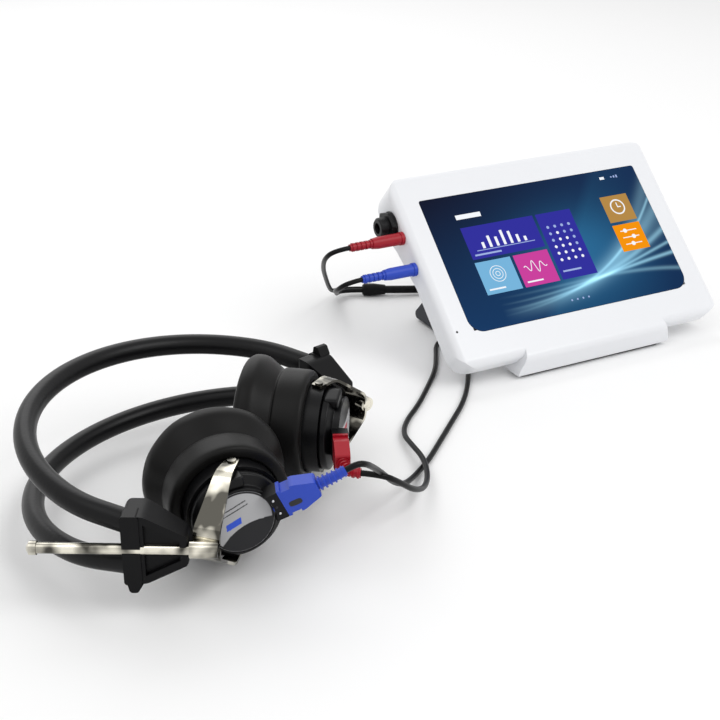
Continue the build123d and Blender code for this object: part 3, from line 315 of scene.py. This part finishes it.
# Camera, at the photograph's place, lens and turn
cameraPlace = {
    "position": (-455.864, -573.794, 335.17),
    "right": (0.883709, -0.468031, 0.002114),
    "up": (0.196584, 0.375269, 0.905830),
    "back": (-0.424750, -0.800075, 0.423636),
    "focalPixels": 1355.0,
    "picturePixels": 720.0,
    "sensor": 36.0,
    "nearest": 0.01,
}
cameraData = bpy.data.cameras.new("photoCamera")
cameraData.sensor_width = cameraPlace["sensor"]
cameraData.lens = cameraPlace["focalPixels"] * cameraPlace["sensor"] / cameraPlace["picturePixels"]
cameraData.clip_start = cameraPlace["nearest"]
photoCamera = bpy.data.objects.new("photoCamera", cameraData)
bpy.context.collection.objects.link(photoCamera)
turn = Matrix([cameraPlace["right"], cameraPlace["up"], cameraPlace["back"]]).transposed().to_4x4()
photoCamera.matrix_world = Matrix.Translation([v * mm for v in cameraPlace["position"]]) @ turn
bpy.context.scene.camera = photoCamera
print("camera in place")


# The trunk: a cord wound in two layers, with its points before and after the coil, in millimetres
coil = {
    "before": [(-58.67, 139.62, 4.0), (-46.23, 133.2, 4.0), (-24.0, 127.0, 2.5), (-2.2, 137.0, 2.5)],
    "after": [(76.0, 149.0, 8.1), (73.0, 134.0, 4.6), (61.6, 121.2, 3.0), (52.0, 114.0, 3.0)],
    "x": 34.0, "y": 166.0, "radius": 27.5, "turns": 4, "pitch": 5.8, "low": 2.5, "high": 8.1,
    "perHalfTurn": 8,
}


def coilRoute():
    # half circles about centres on one line: each is half a pitch smaller, one climbs, then they grow again
    radius = coil["radius"] + (coil["turns"] - 1) * coil["pitch"] / 2
    position = coil["x"] - radius
    sign = 1
    climb = 2 * coil["turns"] - 1
    step = math.pi / coil["perHalfTurn"]
    angles = (np.arange(coil["perHalfTurn"]) + 0.5) * step
    outside = 1 / math.cos(step / 2)  # the spline's points lie outside the circle that it touches
    halfTurns = []
    for index in range(4 * coil["turns"] - 1):
        fromLevel = coil["low"] if index <= climb else coil["high"]
        toLevel = coil["low"] if index < climb else coil["high"]
        reach = sign * radius * outside
        x = position + sign * radius - reach * np.cos(angles)
        y = coil["y"] + reach * np.sin(angles)
        z = (fromLevel + toLevel) / 2 - (toLevel - fromLevel) / 2 * np.cos(angles)
        halfTurns.append(np.stack([x, y, z], -1))
        position += 2 * sign * radius
        sign = -sign
        radius += coil["pitch"] / 2 if index >= climb else -coil["pitch"] / 2
    return np.concatenate(halfTurns)


# Cords: diameters and routes in millimetres, real lengths in metres, and the nodes that they stand for
cords = {
    "red_tail_cord": {
        "nodes": ["red_tail"], "diameter": 2.8, "length": 0.152, "farEnd": "fitting", "lay": "loose",
        "pieces": ["tail_yoke"],
        "route": [
            (-126.0, 60.33, 70.2), (-135.8, 60.33, 70.0), (-137.6, 69.1, 62.8), (-128.2, 89.7, 48.2),
            (-114.8, 113.6, 31.9), (-103.3, 132.5, 17.0), (-93.6, 147.2, 6.5), (-83.68, 154.39, 4.0),
            (-71.24, 147.97, 4.0),
        ],
    },
    "blue_tail_cord": {
        "nodes": ["blue_tail"], "diameter": 2.8, "length": 0.152, "farEnd": "fitting", "lay": "loose",
        "pieces": ["tail_yoke"],
        "route": [
            (-126.0, 45.48, 56.36), (-135.6, 45.48, 55.9), (-138.0, 54.4, 48.4), (-127.0, 76.5, 38.4),
            (-113.7, 102.5, 26.3), (-101.9, 123.6, 15.6), (-93.9, 140.5, 7.4), (-84.31, 150.99, 4.0),
            (-72.76, 145.03, 4.0),
        ],
    },
    "red_lead_cord": {
        "nodes": ["red_lead"], "diameter": 2.8, "length": 0.358, "farEnd": "plug", "lay": "loose",
        "pieces": ["right_earphone_boot", "right_earphone_plug"],
        "route": [
            (34.51, 103.99, 3.0), (24.91, 96.79, 3.0), (4.0, 84.0, 1.4), (-18.0, 73.0, 1.4),
            (-40.0, 66.0, 1.4), (-58.0, 63.0, 1.4), (-71.0, 55.0, 1.4), (-79.0, 41.0, 1.4),
            (-89.0, 25.0, 1.4), (-104.0, 8.0, 1.4), (-120.0, -9.0, 1.4), (-135.0, -22.0, 1.4),
            (-145.0, -36.0, 2.4), (-148.5, -52.0, 4.4), (-151.0, -67.0, 5.4), (-157.0, -82.0, 5.4),
            (-167.0, -96.0, 7.4), (-180.0, -108.0, 16.0), (-192.0, -114.5, 27.0),
            (-201.28, -116.4, 33.99), (-209.16, -110.24, 33.99),
        ],
    },
    "blue_lead_cord": {
        "nodes": ["blue_lead"], "diameter": 2.8, "length": 0.381, "farEnd": "plug", "lay": "loose",
        "pieces": ["left_earphone_boot", "left_earphone_plug"],
        "route": [
            (37.51, 99.99, 3.0), (27.91, 92.79, 3.0), (8.0, 79.0, 1.4), (-12.0, 66.0, 1.4),
            (-34.0, 52.0, 1.4), (-54.0, 38.0, 1.4), (-70.0, 20.0, 1.4), (-84.0, -2.0, 1.4),
            (-98.0, -19.0, 1.4), (-114.0, -34.0, 1.4), (-131.0, -50.0, 1.4), (-147.0, -65.0, 1.4),
            (-161.0, -76.0, 2.2), (-174.0, -88.0, 7.0), (-186.5, -99.0, 17.5), (-199.0, -112.0, 32.0),
            (-210.0, -124.5, 44.0), (-219.5, -134.5, 53.6), (-224.6, -134.9, 54.98),
            (-229.18, -134.04, 52.82),
        ],
    },
    "trunk_whole_cord": {
        "nodes": ["trunk_cord", "cord_coil", "lead_trunk"], "diameter": 5.0, "length": 1.40,
        "farEnd": "fitting", "lay": "coiled",
        "pieces": ["lead_splitter"],
        "route": [*coil["before"], *coilRoute(), *coil["after"]],
    },
}
cordForm = {"ringSteps": 5, "runSteps": 8, "order": 3}


def smoothCord(name, facts):
    # one open spline of even thickness, which starts and ends on the route's own ends
    route = np.asarray(facts["route"], float)
    curve = bpy.data.curves.new(name, "CURVE")
    curve.dimensions = "3D"
    curve.bevel_depth = facts["diameter"] / 2 * mm
    curve.bevel_resolution = cordForm["ringSteps"]
    curve.resolution_u = cordForm["runSteps"]
    spline = curve.splines.new("NURBS")
    spline.points.add(len(route) - 1)
    weights = np.ones((len(route), 1))
    spline.points.foreach_set("co", np.concatenate([route * mm, weights], 1).ravel())
    spline.order_u = cordForm["order"]
    spline.use_endpoint_u = True
    spline.use_smooth = True
    piece = bpy.data.objects.new(name, curve)
    bpy.context.collection.objects.link(piece)
    dress(piece, materials["cableSheath"], headBody)
    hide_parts(*facts["nodes"])


for cordName, facts in cords.items():
    smoothCord(cordName, facts)
print("cords laid")


# Ear cushions: a soft ring with a dished face, a fat rim, a drawn-in neck and a collar. The profile is
# station along the axis and radius, and a wave is its count, its phase and its share of the slack.
cushion = {
    "profile": [
        (-20.0, 9.3), (-24.0, 8.9), (-28.5, 9.0), (-30.6, 10.4), (-32.2, 14.0), (-33.9, 19.0),
        (-35.6, 24.0), (-36.1, 27.4), (-35.7, 30.6), (-33.6, 32.5), (-30.4, 32.6), (-28.0, 32.2),
        (-26.2, 31.2), (-23.3, 29.0), (-20.5, 26.9), (-19.2, 26.1), (-18.4, 26.3), (-18.0, 27.0),
        (-16.4, 27.1), (-10.0, 27.05), (-6.4, 27.0), (-4.9, 26.5), (-4.2, 25.4), (-4.2, 23.0),
        (-4.3, 21.5), (-8.0, 21.45), (-19.0, 21.45), (-20.2, 20.6), (-20.2, 13.0),
    ],
    "perCorner": 4,
    "around": 144,
    "soft": {"radius": 26.0, "overRadius": 6.0, "station": -19.0, "overStation": 8.0},
    "drawIn": 0.2,
    "slack": 0.12,
    "waves": [(5, 0.7, 1.0), (11, 0.0, 0.6)],
    "fill": 0.8,
}


def makeCushion(side):
    # the closed profile turned about the earphone's axis, its soft rim drawn in a little and waved by sines
    profile = closedSpline(cushion["profile"], cushion["perCorner"])
    angle = np.arange(cushion["around"]) * 2 * math.pi / cushion["around"]
    station, radius = profile[:, 0][:, None], profile[:, 1][:, None]
    soft = cushion["soft"]
    softness = np.clip((radius - soft["radius"]) / soft["overRadius"], 0, 1)
    softness = softness * np.clip((soft["station"] - station) / soft["overStation"], 0, 1)
    wave = sum(share * np.sin(count * angle + phase) for count, phase, share in cushion["waves"])
    radius = radius - softness * (cushion["drawIn"] + cushion["slack"] * wave[None, :])
    station = station + 0 * angle[None, :]
    points = np.stack([station, radius * np.cos(angle), radius * np.sin(angle)], -1)
    world = earToWorld(points, side)
    piece = gridMesh(side + "_soft_cushion", world, closeU=True, closeV=True, flip=True)
    dress(piece, materials["softRubber"], side + "_earphone")
    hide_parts(side + "_cushion")


for side in earPlace:
    makeCushion(side)
print("ear cushions made")


# The lit picture on the screen, in millimetres from its middle: four corner colours, a glow, a beam that
# leans to the right, and streaks. A streak rises with the cube of the share across and bends on its way.
picture = {
    "width": 153.8, "height": 85.8, "bottomCorner": 9.0, "topCorner": 1.2, "lift": 0.03,
    "columns": 300, "rows": 150, "cornerRows": 25,
    "emission": 1.0, "roughness": 0.3, "specular": 0.02,
    "corners": {
        "topLeft": (0.001, 0.002, 0.014), "topRight": (0.003, 0.022, 0.080),
        "bottomLeft": (0.002, 0.034, 0.115), "bottomRight": (0.001, 0.020, 0.075),
    },
    "glow": {"x": 14.0, "y": -6.0, "wide": 42.0, "tall": 26.0, "colour": (0.012, 0.085, 0.165)},
    "beam": {
        "x": 6.0, "slant": 0.8, "edge": 9.0, "fadeX": 12.0, "fadeSlant": 0.1, "fade": 60.0,
        "colour": (0.004, 0.030, 0.050),
    },
    "streakForm": {
        "colour": (0.45, 0.85, 1.0), "bendShare": 0.6, "widthShare": 0.6, "fadeRate": 1.6, "fadeFrom": 0.25,
    },
    "streaks": [
        {"start": -33.0, "rise": 30.0, "bend": 26.0, "width": 1.2, "strength": 0.34},
        {"start": -36.0, "rise": 47.0, "bend": 8.0, "width": 3.0, "strength": 0.20},
        {"start": -28.0, "rise": 9.0, "bend": 34.0, "width": 0.7, "strength": 0.50},
        {"start": -40.0, "rise": 66.0, "bend": -20.0, "width": 4.5, "strength": 0.16},
        {"start": -31.0, "rise": 19.0, "bend": 44.0, "width": 0.6, "strength": 0.42},
        {"start": -24.0, "rise": -6.0, "bend": 30.0, "width": 0.8, "strength": 0.24},
        {"start": -37.0, "rise": 56.0, "bend": 2.0, "width": 0.7, "strength": 0.40},
        {"start": -34.0, "rise": 38.0, "bend": 16.0, "width": 6.0, "strength": 0.10},
    ],
}


def pictureColours(across, up):
    # corner colours mixed over the screen, plus the glow, the beam and each streak times its own colour
    share = across / picture["width"] + 0.5
    right = share[..., None]
    top = (up / picture["height"] + 0.5)[..., None]
    corners = {name: np.array(colour) for name, colour in picture["corners"].items()}
    high = corners["topLeft"] * (1 - right) + corners["topRight"] * right
    low = corners["bottomLeft"] * (1 - right) + corners["bottomRight"] * right
    ground = low * (1 - top) + high * top

    glow = picture["glow"]
    light = np.exp(-((across - glow["x"]) / glow["wide"]) ** 2 - ((up - glow["y"]) / glow["tall"]) ** 2)
    ground = ground + light[..., None] * np.array(glow["colour"])

    beam = picture["beam"]
    light = np.clip((across - beam["x"] - beam["slant"] * up) / beam["edge"], 0, 1)
    light = light * np.clip(1 - (across - beam["fadeX"] - beam["fadeSlant"] * up) / beam["fade"], 0, 1)
    ground = ground + light[..., None] * np.array(beam["colour"])

    form = picture["streakForm"]
    fade = np.clip(share * form["fadeRate"] - form["fadeFrom"], 0, 1)
    for streak in picture["streaks"]:
        swing = (share - share ** 2) * (form["bendShare"] - share)
        line = streak["start"] + streak["rise"] * share ** 3 - streak["bend"] * swing
        width = streak["width"] * (form["widthShare"] + share)
        light = streak["strength"] * fade * np.exp(-((up - line) / width) ** 2)
        ground = ground + light[..., None] * np.array(form["colour"])
    return np.clip(ground, 0, 1)


def cornerCut(corner, height):
    # how far a round corner draws the side in at a height above its lower end: the circle's own sagitta
    return corner - np.sqrt(np.clip(corner ** 2 - np.clip(corner - height, 0, None) ** 2, 0, None))


def makePicture():
    # rows and columns over the glass, each row drawn in where the corners are round
    half = picture["height"] / 2
    cornerAngles = np.linspace(0, math.pi / 2, picture["cornerRows"])
    cornerRise = picture["bottomCorner"] * (1 - np.cos(cornerAngles))
    v = np.linspace(picture["bottomCorner"], picture["height"], picture["rows"])
    v = np.concatenate([cornerRise[:-1], v]) - half
    u = np.linspace(-1, 1, picture["columns"])
    cut = cornerCut(picture["bottomCorner"], half + v) + cornerCut(picture["topCorner"], half - v)
    across = (picture["width"] / 2 - cut)[:, None] * u[None, :]
    up = v[:, None] + 0 * u[None, :]
    points = np.stack([across, up, np.full_like(across, picture["lift"])], -1)
    piece = gridMesh("screen_picture", screenToWorld(points), colours=pictureColours(across, up))
    dress(piece, pictureMaterial("litPicture", picture), headBody)


makePicture()


# Plain tiles on the picture and thin marks on them, at two heights above the glass
screenMark = {
    "tileLift": 0.07, "lift": 0.10, "panelPoints": 5, "ringPoints": 48, "dotHole": 0.01,
    "emission": 1.0, "unlitShare": 0.02,
    "finish": {"roughness": 0.3, "specular": 0.02, "tint": 0.03, "grain": 0.0},
}
screenColours = {
    "indigo": (0.030, 0.028, 0.330), "sky": (0.180, 0.450, 0.700), "pink": (0.580, 0.050, 0.330),
    "ochre": (0.450, 0.245, 0.062), "orange": (0.900, 0.290, 0.002), "white": (0.90, 0.93, 0.97),
    "faint": (0.35, 0.45, 0.75),
}


def glowMaterial(name, colour):
    # a colour lit from inside, almost dark by itself
    unlit = [screenMark["unlitShare"] * c for c in colour]
    material = principled(name, {"colour": unlit, **screenMark["finish"]})
    shader = material.node_tree.nodes["Principled BSDF"]
    shader.inputs["Emission Color"].default_value = (*colour, 1.0)
    shader.inputs["Emission Strength"].default_value = screenMark["emission"]
    return material


glowMaterials = {name: glowMaterial("lit_" + name, colour) for name, colour in screenColours.items()}


def flatPanel(name, x, y, width, height, colour, lift=screenMark["lift"]):
    # a flat patch on the screen, two parameters across and up
    shares = np.linspace(-0.5, 0.5, screenMark["panelPoints"])
    u, v = np.meshgrid(shares, shares)
    points = np.stack([x + u * width, y + v * height, np.full_like(u, lift)], -1)
    piece = gridMesh(name, screenToWorld(points))
    dress(piece, glowMaterials[colour], headBody)


def flatRibbon(name, line, width, colour):
    # a strip of even width carried along a line on the screen
    line = np.asarray(line, float)
    way = np.gradient(line, axis=0)
    way = way / np.linalg.norm(way, axis=1)[:, None]
    aside = np.stack([-way[:, 1], way[:, 0]], -1) * width / 2
    rows = np.stack([line - aside, line + aside], 0)
    points = np.concatenate([rows, np.full((*rows.shape[:2], 1), screenMark["lift"])], -1)
    piece = gridMesh(name, screenToWorld(points))
    dress(piece, glowMaterials[colour], headBody)


def ringOnScreen(x, y, inner, outer, lift, around):
    # two circles about one point, at an inner and an outer radius
    angle = np.arange(around) * 2 * math.pi / around
    radius = np.array([[inner], [outer]])
    circles = [x + radius * np.cos(angle), y + radius * np.sin(angle), lift + 0 * radius * angle]
    return screenToWorld(np.stack(circles, -1))


def flatRing(name, x, y, inner, outer, colour):
    # the band between two circles on the screen
    points = ringOnScreen(x, y, inner, outer, screenMark["lift"], screenMark["ringPoints"])
    piece = gridMesh(name, points, closeV=True, flip=True)
    dress(piece, glowMaterials[colour], headBody)


def flatDot(name, x, y, radius, colour):
    # a ring whose inner radius is next to nothing
    flatRing(name, x, y, screenMark["dotHole"], radius, colour)


tiles = {
    "tile_levels": {"x": -33.0, "y": 11.0, "width": 50.0, "height": 21.0, "colour": "indigo"},
    "tile_rings": {"x": -46.0, "y": -12.0, "width": 24.0, "height": 21.0, "colour": "sky"},
    "tile_ripple": {"x": -20.0, "y": -12.0, "width": 24.0, "height": 21.0, "colour": "pink"},
    "tile_meter": {"x": 6.5, "y": -0.5, "width": 25.0, "height": 44.0, "colour": "indigo"},
    "tile_clock": {"x": 53.0, "y": 16.0, "width": 20.0, "height": 18.0, "colour": "ochre"},
    "tile_sliders": {"x": 53.0, "y": -4.0, "width": 20.0, "height": 18.0, "colour": "orange"},
}
for tileName, tile in tiles.items():
    flatPanel(tileName, lift=screenMark["tileLift"], **tile)

# Level bars on the wide tile
levels = {
    "left": -47.5, "pitch": 4.8, "foot": 6.5, "width": 1.8,
    "heights": (4.0, 7.5, 6.0, 9.5, 8.0, 5.0, 3.0),
    "base": {"x": -33.0, "y": 5.6, "width": 40.0, "height": 0.5, "colour": "faint"},
    "caption": {"x": -46.5, "y": 3.0, "width": 18.0, "height": 1.1, "colour": "faint"},
}
for index, height in enumerate(levels["heights"]):
    x = levels["left"] + levels["pitch"] * index
    flatPanel("level_bar_%d" % index, x, levels["foot"] + height / 2, levels["width"], height, "white")
flatPanel("level_base", **levels["base"])
flatPanel("level_caption", **levels["caption"])

# Rings on the small tile
rings = {
    "x": -46.0, "y": -10.5, "line": 0.4, "radii": (1.2, 3.0, 4.8),
    "caption": {"x": -50.0, "y": -19.6, "width": 11.0, "height": 1.0, "colour": "white"},
}
for index, radius in enumerate(rings["radii"]):
    flatRing("ring_%d" % index, rings["x"], rings["y"], radius, radius + rings["line"], "white")
flatPanel("ring_caption", **rings["caption"])

# A ripple on the next: a sine that swells about its middle
ripple = {
    "from": -28.0, "to": -12.0, "middle": -20.0, "y": -10.5, "height": 4.0, "rate": 1.1, "reach": 6.0,
    "line": 0.5, "points": 60,
    "caption": {"x": -24.0, "y": -19.6, "width": 11.0, "height": 1.0, "colour": "white"},
}
rippleX = np.linspace(ripple["from"], ripple["to"], ripple["points"])
swell = np.exp(-((rippleX - ripple["middle"]) / ripple["reach"]) ** 2)
rippleY = ripple["y"] + ripple["height"] * np.sin(rippleX * ripple["rate"]) * swell
flatRibbon("ripple_line", np.stack([rippleX, rippleY], -1), ripple["line"], "white")
flatPanel("ripple_caption", **ripple["caption"])

# Columns of dots on the tall tile, the lowest ones lit
meter = {
    "left": -1.0, "foot": -10.0, "across": 5.0, "up": 4.4, "radius": 0.95, "rows": 6, "lit": (3, 5, 4, 2),
    "caption": {"x": 3.0, "y": -17.4, "width": 13.0, "height": 1.1, "colour": "faint"},
}
for column, lit in enumerate(meter["lit"]):
    for row in range(meter["rows"]):
        x = meter["left"] + meter["across"] * column
        y = meter["foot"] + meter["up"] * row
        dotColour = "white" if row < lit else "faint"
        flatDot("meter_dot_%d_%d" % (column, row), x, y, meter["radius"], dotColour)
flatPanel("meter_caption", **meter["caption"])

# A clock and three sliders at the right
clock = {
    "x": 53.0, "y": 17.0, "inner": 4.3, "outer": 5.2, "hand": 0.7,
    "hands": [(53.0, 20.0), (53.0, 17.0), (53.0, 16.9), (55.4, 16.9)],
}
flatRing("clock_ring", clock["x"], clock["y"], clock["inner"], clock["outer"], "white")
flatRibbon("clock_hands", clock["hands"], clock["hand"], "white")
sliders = {
    "x": 53.0, "top": 0.5, "pitch": 4.5, "width": 12.0, "line": 0.6,
    "knob": 1.4, "knobsAt": (-2.5, 2.0, -0.5),
}
for index, knobAt in enumerate(sliders["knobsAt"]):
    y = sliders["top"] - sliders["pitch"] * index
    flatPanel("slider_%d" % index, sliders["x"], y, sliders["width"], sliders["line"], "white")
    flatDot("slider_knob_%d" % index, sliders["x"] + knobAt, y, sliders["knob"], "white")

# Small plain marks at the top, and page dots below
topMarks = {
    "heading": {"x": -49.5, "y": 28.5, "width": 17.0, "height": 3.0, "colour": "white"},
    "cell": {"x": 51.0, "y": 37.5, "width": 3.4, "height": 1.8, "colour": "white"},
    "left": 58.0, "y": 37.5, "pitch": 2.0, "width": 1.1, "heights": (0.9, 1.4, 1.9),
}
flatPanel("top_heading", **topMarks["heading"])
flatPanel("top_cell", **topMarks["cell"])
for index, height in enumerate(topMarks["heights"]):
    x = topMarks["left"] + topMarks["pitch"] * index
    flatPanel("top_mark_%d" % index, x, topMarks["y"], topMarks["width"], height, "faint")
pageDots = {"left": -6.0, "y": -36.0, "pitch": 4.0, "radius": 0.6, "count": 4}
for index in range(pageDots["count"]):
    x = pageDots["left"] + pageDots["pitch"] * index
    flatDot("page_dot_%d" % index, x, pageDots["y"], pageDots["radius"], "faint")
print("screen picture made")


# The light sensor's dot in the bezel, too fine for the frame
sensor = {"x": -86.0, "y": -40.0, "hole": 0.01, "radius": 0.7, "lift": 0.02, "around": 32}
sensorPoints = ringOnScreen(
    sensor["x"], sensor["y"], sensor["hole"], sensor["radius"], sensor["lift"], sensor["around"],
)
sensorDot = gridMesh("light_sensor", sensorPoints, closeV=True, flip=True)
sensorDot.data.materials.append(materials["blackBody"])
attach(sensorDot, headBody)


# The face of each label plate: a dark rim and lower part, a leaning coloured bar and two thin lines
label = {
    "station": 12.04, "radius": 14.3, "hole": 0.002, "rings": 60, "around": 160,
    "rim": 0.9, "edge": -2.4, "edgeCurve": 0.022,
    "bar": {"x": -3.6, "y": 0.8, "lean": 0.35, "half": (3.6, 1.5)},
    "lines": {"y": 7.2, "apart": 1.0, "half": (6.0, 0.25)},
    "silver": (0.42, 0.42, 0.43), "black": (0.012, 0.012, 0.014),
    "barColour": {"left": (0.03, 0.09, 0.60), "right": (0.45, 0.01, 0.03)},
    "emission": 0.0, "roughness": 0.3, "specular": 0.25,
}


def makeLabel(side):
    # rings about the axis, coloured by what is dark or bright at each point of the label's own x and y
    angle = np.arange(label["around"]) * 2 * math.pi / label["around"]
    radius = label["radius"] * np.linspace(label["hole"], 1, label["rings"])[:, None]
    across, up = radius * np.cos(angle), radius * np.sin(angle)
    points = np.stack([np.full_like(across, label["station"]), across, up], -1)
    x, y = turned(across, up, -earPlace[side]["clock"])
    bar, lines = label["bar"], label["lines"]
    dark = (y < label["edge"] - label["edgeCurve"] * x ** 2) | (radius > label["radius"] - label["rim"])
    lineGap = np.abs(np.abs(y - lines["y"]) - lines["apart"])
    dark = dark | ((lineGap < lines["half"][1]) & (np.abs(x) < lines["half"][0]))
    barGap = np.abs(x - bar["x"] - bar["lean"] * y)
    onBar = (barGap < bar["half"][0]) & (np.abs(y - bar["y"]) < bar["half"][1])
    colours = np.full((*across.shape, 3), label["silver"])
    colours[dark] = label["black"]
    colours[onBar] = label["barColour"][side]
    piece = gridMesh(side + "_label_face", earToWorld(points, side), closeV=True, colours=colours)
    dress(piece, pictureMaterial(side + "LabelFace", label), side + "_earphone")


for side in earPlace:
    makeLabel(side)
print("labels made")


# Fine trim: a bridge on the shoulder of each cap, bright heads at both sides of the plug with a dark one
# between them, and a thin black block of painted shade for the plug's finger notch, whose middle is in the
# plug's own frame that leans out of the cap
capBridge = {
    "station": 7.2, "radius": 17.6, "clock": 100.0, "half": (3.6, 2.6, 5.6), "square": 0.32, "steps": 24,
}
capHeads = {
    "station": 16.7, "radius": 15.6, "half": (0.36, 0.6, 0.6), "square": 1.0, "steps": 12,
    "finishes": {-3.6: "steel", 0.0: "blackBody", 3.6: "steel"},
}
# the finger notch is not cut into the plug: a thin black block on its side paints the notch's shade
plugNotchShade = {
    "station": 8.6, "lean": 15.0, "middle": (25.2, -1.6, 3.42), "half": (3.0, 1.5, 0.22),
    "square": 0.6, "steps": 16,
}


def softBlock(middle, settings):
    # a rounded block: sine and cosine of two angles raised to a small power, times the half sizes
    around = np.linspace(-math.pi, math.pi, 2 * settings["steps"] + 1)[:-1]
    upwards = np.linspace(-math.pi / 2, math.pi / 2, settings["steps"])
    v, u = np.meshgrid(around, upwards)

    def power(value):
        return np.sign(value) * np.abs(value) ** settings["square"]

    ring = power(np.cos(u))
    shape = np.stack([ring * power(np.cos(v)), ring * power(np.sin(v)), power(np.sin(u))], -1)
    return np.asarray(middle) + shape * np.asarray(settings["half"])


def addTrim(name, block, side, clock, finishName):
    # a block turned round the earphone's axis and put on the earphone
    piece = gridMesh(name, earToWorld(turnAbout(block, clock), side), closeV=True)
    dress(piece, materials[finishName], side + "_earphone")


def notchShadeBlock():
    # the block of painted notch shade, a thin black sheet leaned with the plug and moved to where the plug
    # leaves the cap
    block = softBlock(plugNotchShade["middle"], plugNotchShade)
    across, out = turned(block[..., 0], block[..., 2], plugNotchShade["lean"])
    return np.stack([plugNotchShade["station"] + out, across, block[..., 1]], -1)


for side in earPlace:
    plugClock = earPlace[side]["clock"]
    bridge = softBlock((capBridge["station"], capBridge["radius"], 0.0), capBridge)
    addTrim(side + "_cap_bridge", bridge, side, capBridge["clock"], "capsuleBlack")
    for index, (aside, headFinish) in enumerate(capHeads["finishes"].items()):
        head = softBlock((capHeads["station"], capHeads["radius"], aside), capHeads)
        addTrim("%s_cap_screw_%d" % (side, index), head, side, plugClock, headFinish)
    # a thin black block of painted shade where the plug has its finger notch
    addTrim(side + "_plug_notch_shade", notchShadeBlock(), side, plugClock, "blackBody")
print("cap trim made")


# Floor and sky
stage = {
    "half": 4.0, "points": 9, "drop": 0.0002, "floor": (0.93, 0.93, 0.93), "roughness": 0.9,
    "sky": (1.0, 1.0, 1.0), "skyLight": 0.68, "skySeen": 1.0,
}
floorShares = np.linspace(-1, 1, stage["points"])
u, v = np.meshgrid(floorShares, floorShares)
floorPoints = np.stack([u * stage["half"], v * stage["half"], np.full_like(u, -stage["drop"])], -1)
floorPiece = gridMesh("floor", floorPoints)
floorMaterial = bpy.data.materials.new("paleFloor")
floorMaterial.use_nodes = True
floorShader = floorMaterial.node_tree.nodes["Principled BSDF"]
floorShader.inputs["Base Color"].default_value = (*stage["floor"], 1.0)
floorShader.inputs["Roughness"].default_value = stage["roughness"]
floorPiece.data.materials.append(floorMaterial)

world = bpy.data.worlds.new("paleSky")
bpy.context.scene.world = world
world.use_nodes = True
skyNodes = world.node_tree.nodes
skyLinks = world.node_tree.links
background = skyNodes["Background"]
background.inputs["Color"].default_value = (*stage["sky"], 1.0)
rays = skyNodes.new("ShaderNodeLightPath")
seen = skyNodes.new("ShaderNodeMath")
seen.operation = "MAXIMUM"
skyLinks.new(rays.outputs["Is Camera Ray"], seen.inputs[0])
skyLinks.new(rays.outputs["Is Glossy Ray"], seen.inputs[1])
strength = skyNodes.new("ShaderNodeMapRange")
strength.inputs["To Min"].default_value = stage["skyLight"]
strength.inputs["To Max"].default_value = stage["skySeen"]
skyLinks.new(seen.outputs["Value"], strength.inputs["Value"])
skyLinks.new(strength.outputs["Result"], background.inputs["Strength"])

# Lamps, all aimed at one point, in metres and watts
lampTarget = (-0.1, 0.0, 0.05)
lamps = {
    "key": {"position": (0.45, -0.95, 1.25), "size": 0.9, "power": 9.0},
    "fill": {"position": (-0.9, -0.2, 1.2), "size": 0.8, "power": 2.2},
    "rim": {"position": (0.0, 1.1, 1.0), "size": 1.0, "power": 5.0},
}
for lampName, lamp in lamps.items():
    lightData = bpy.data.lights.new(lampName, "AREA")
    lightData.shape = "SQUARE"
    lightData.size = lamp["size"]
    lightData.energy = lamp["power"]
    light = bpy.data.objects.new(lampName, lightData)
    bpy.context.collection.objects.link(light)
    aim = (Vector(lampTarget) - Vector(lamp["position"])).to_track_quat("-Z", "Y")
    light.matrix_world = Matrix.Translation(lamp["position"]) @ aim.to_matrix().to_4x4()
bpy.context.scene.view_settings.view_transform = "Standard"
print("stage and lamps set")
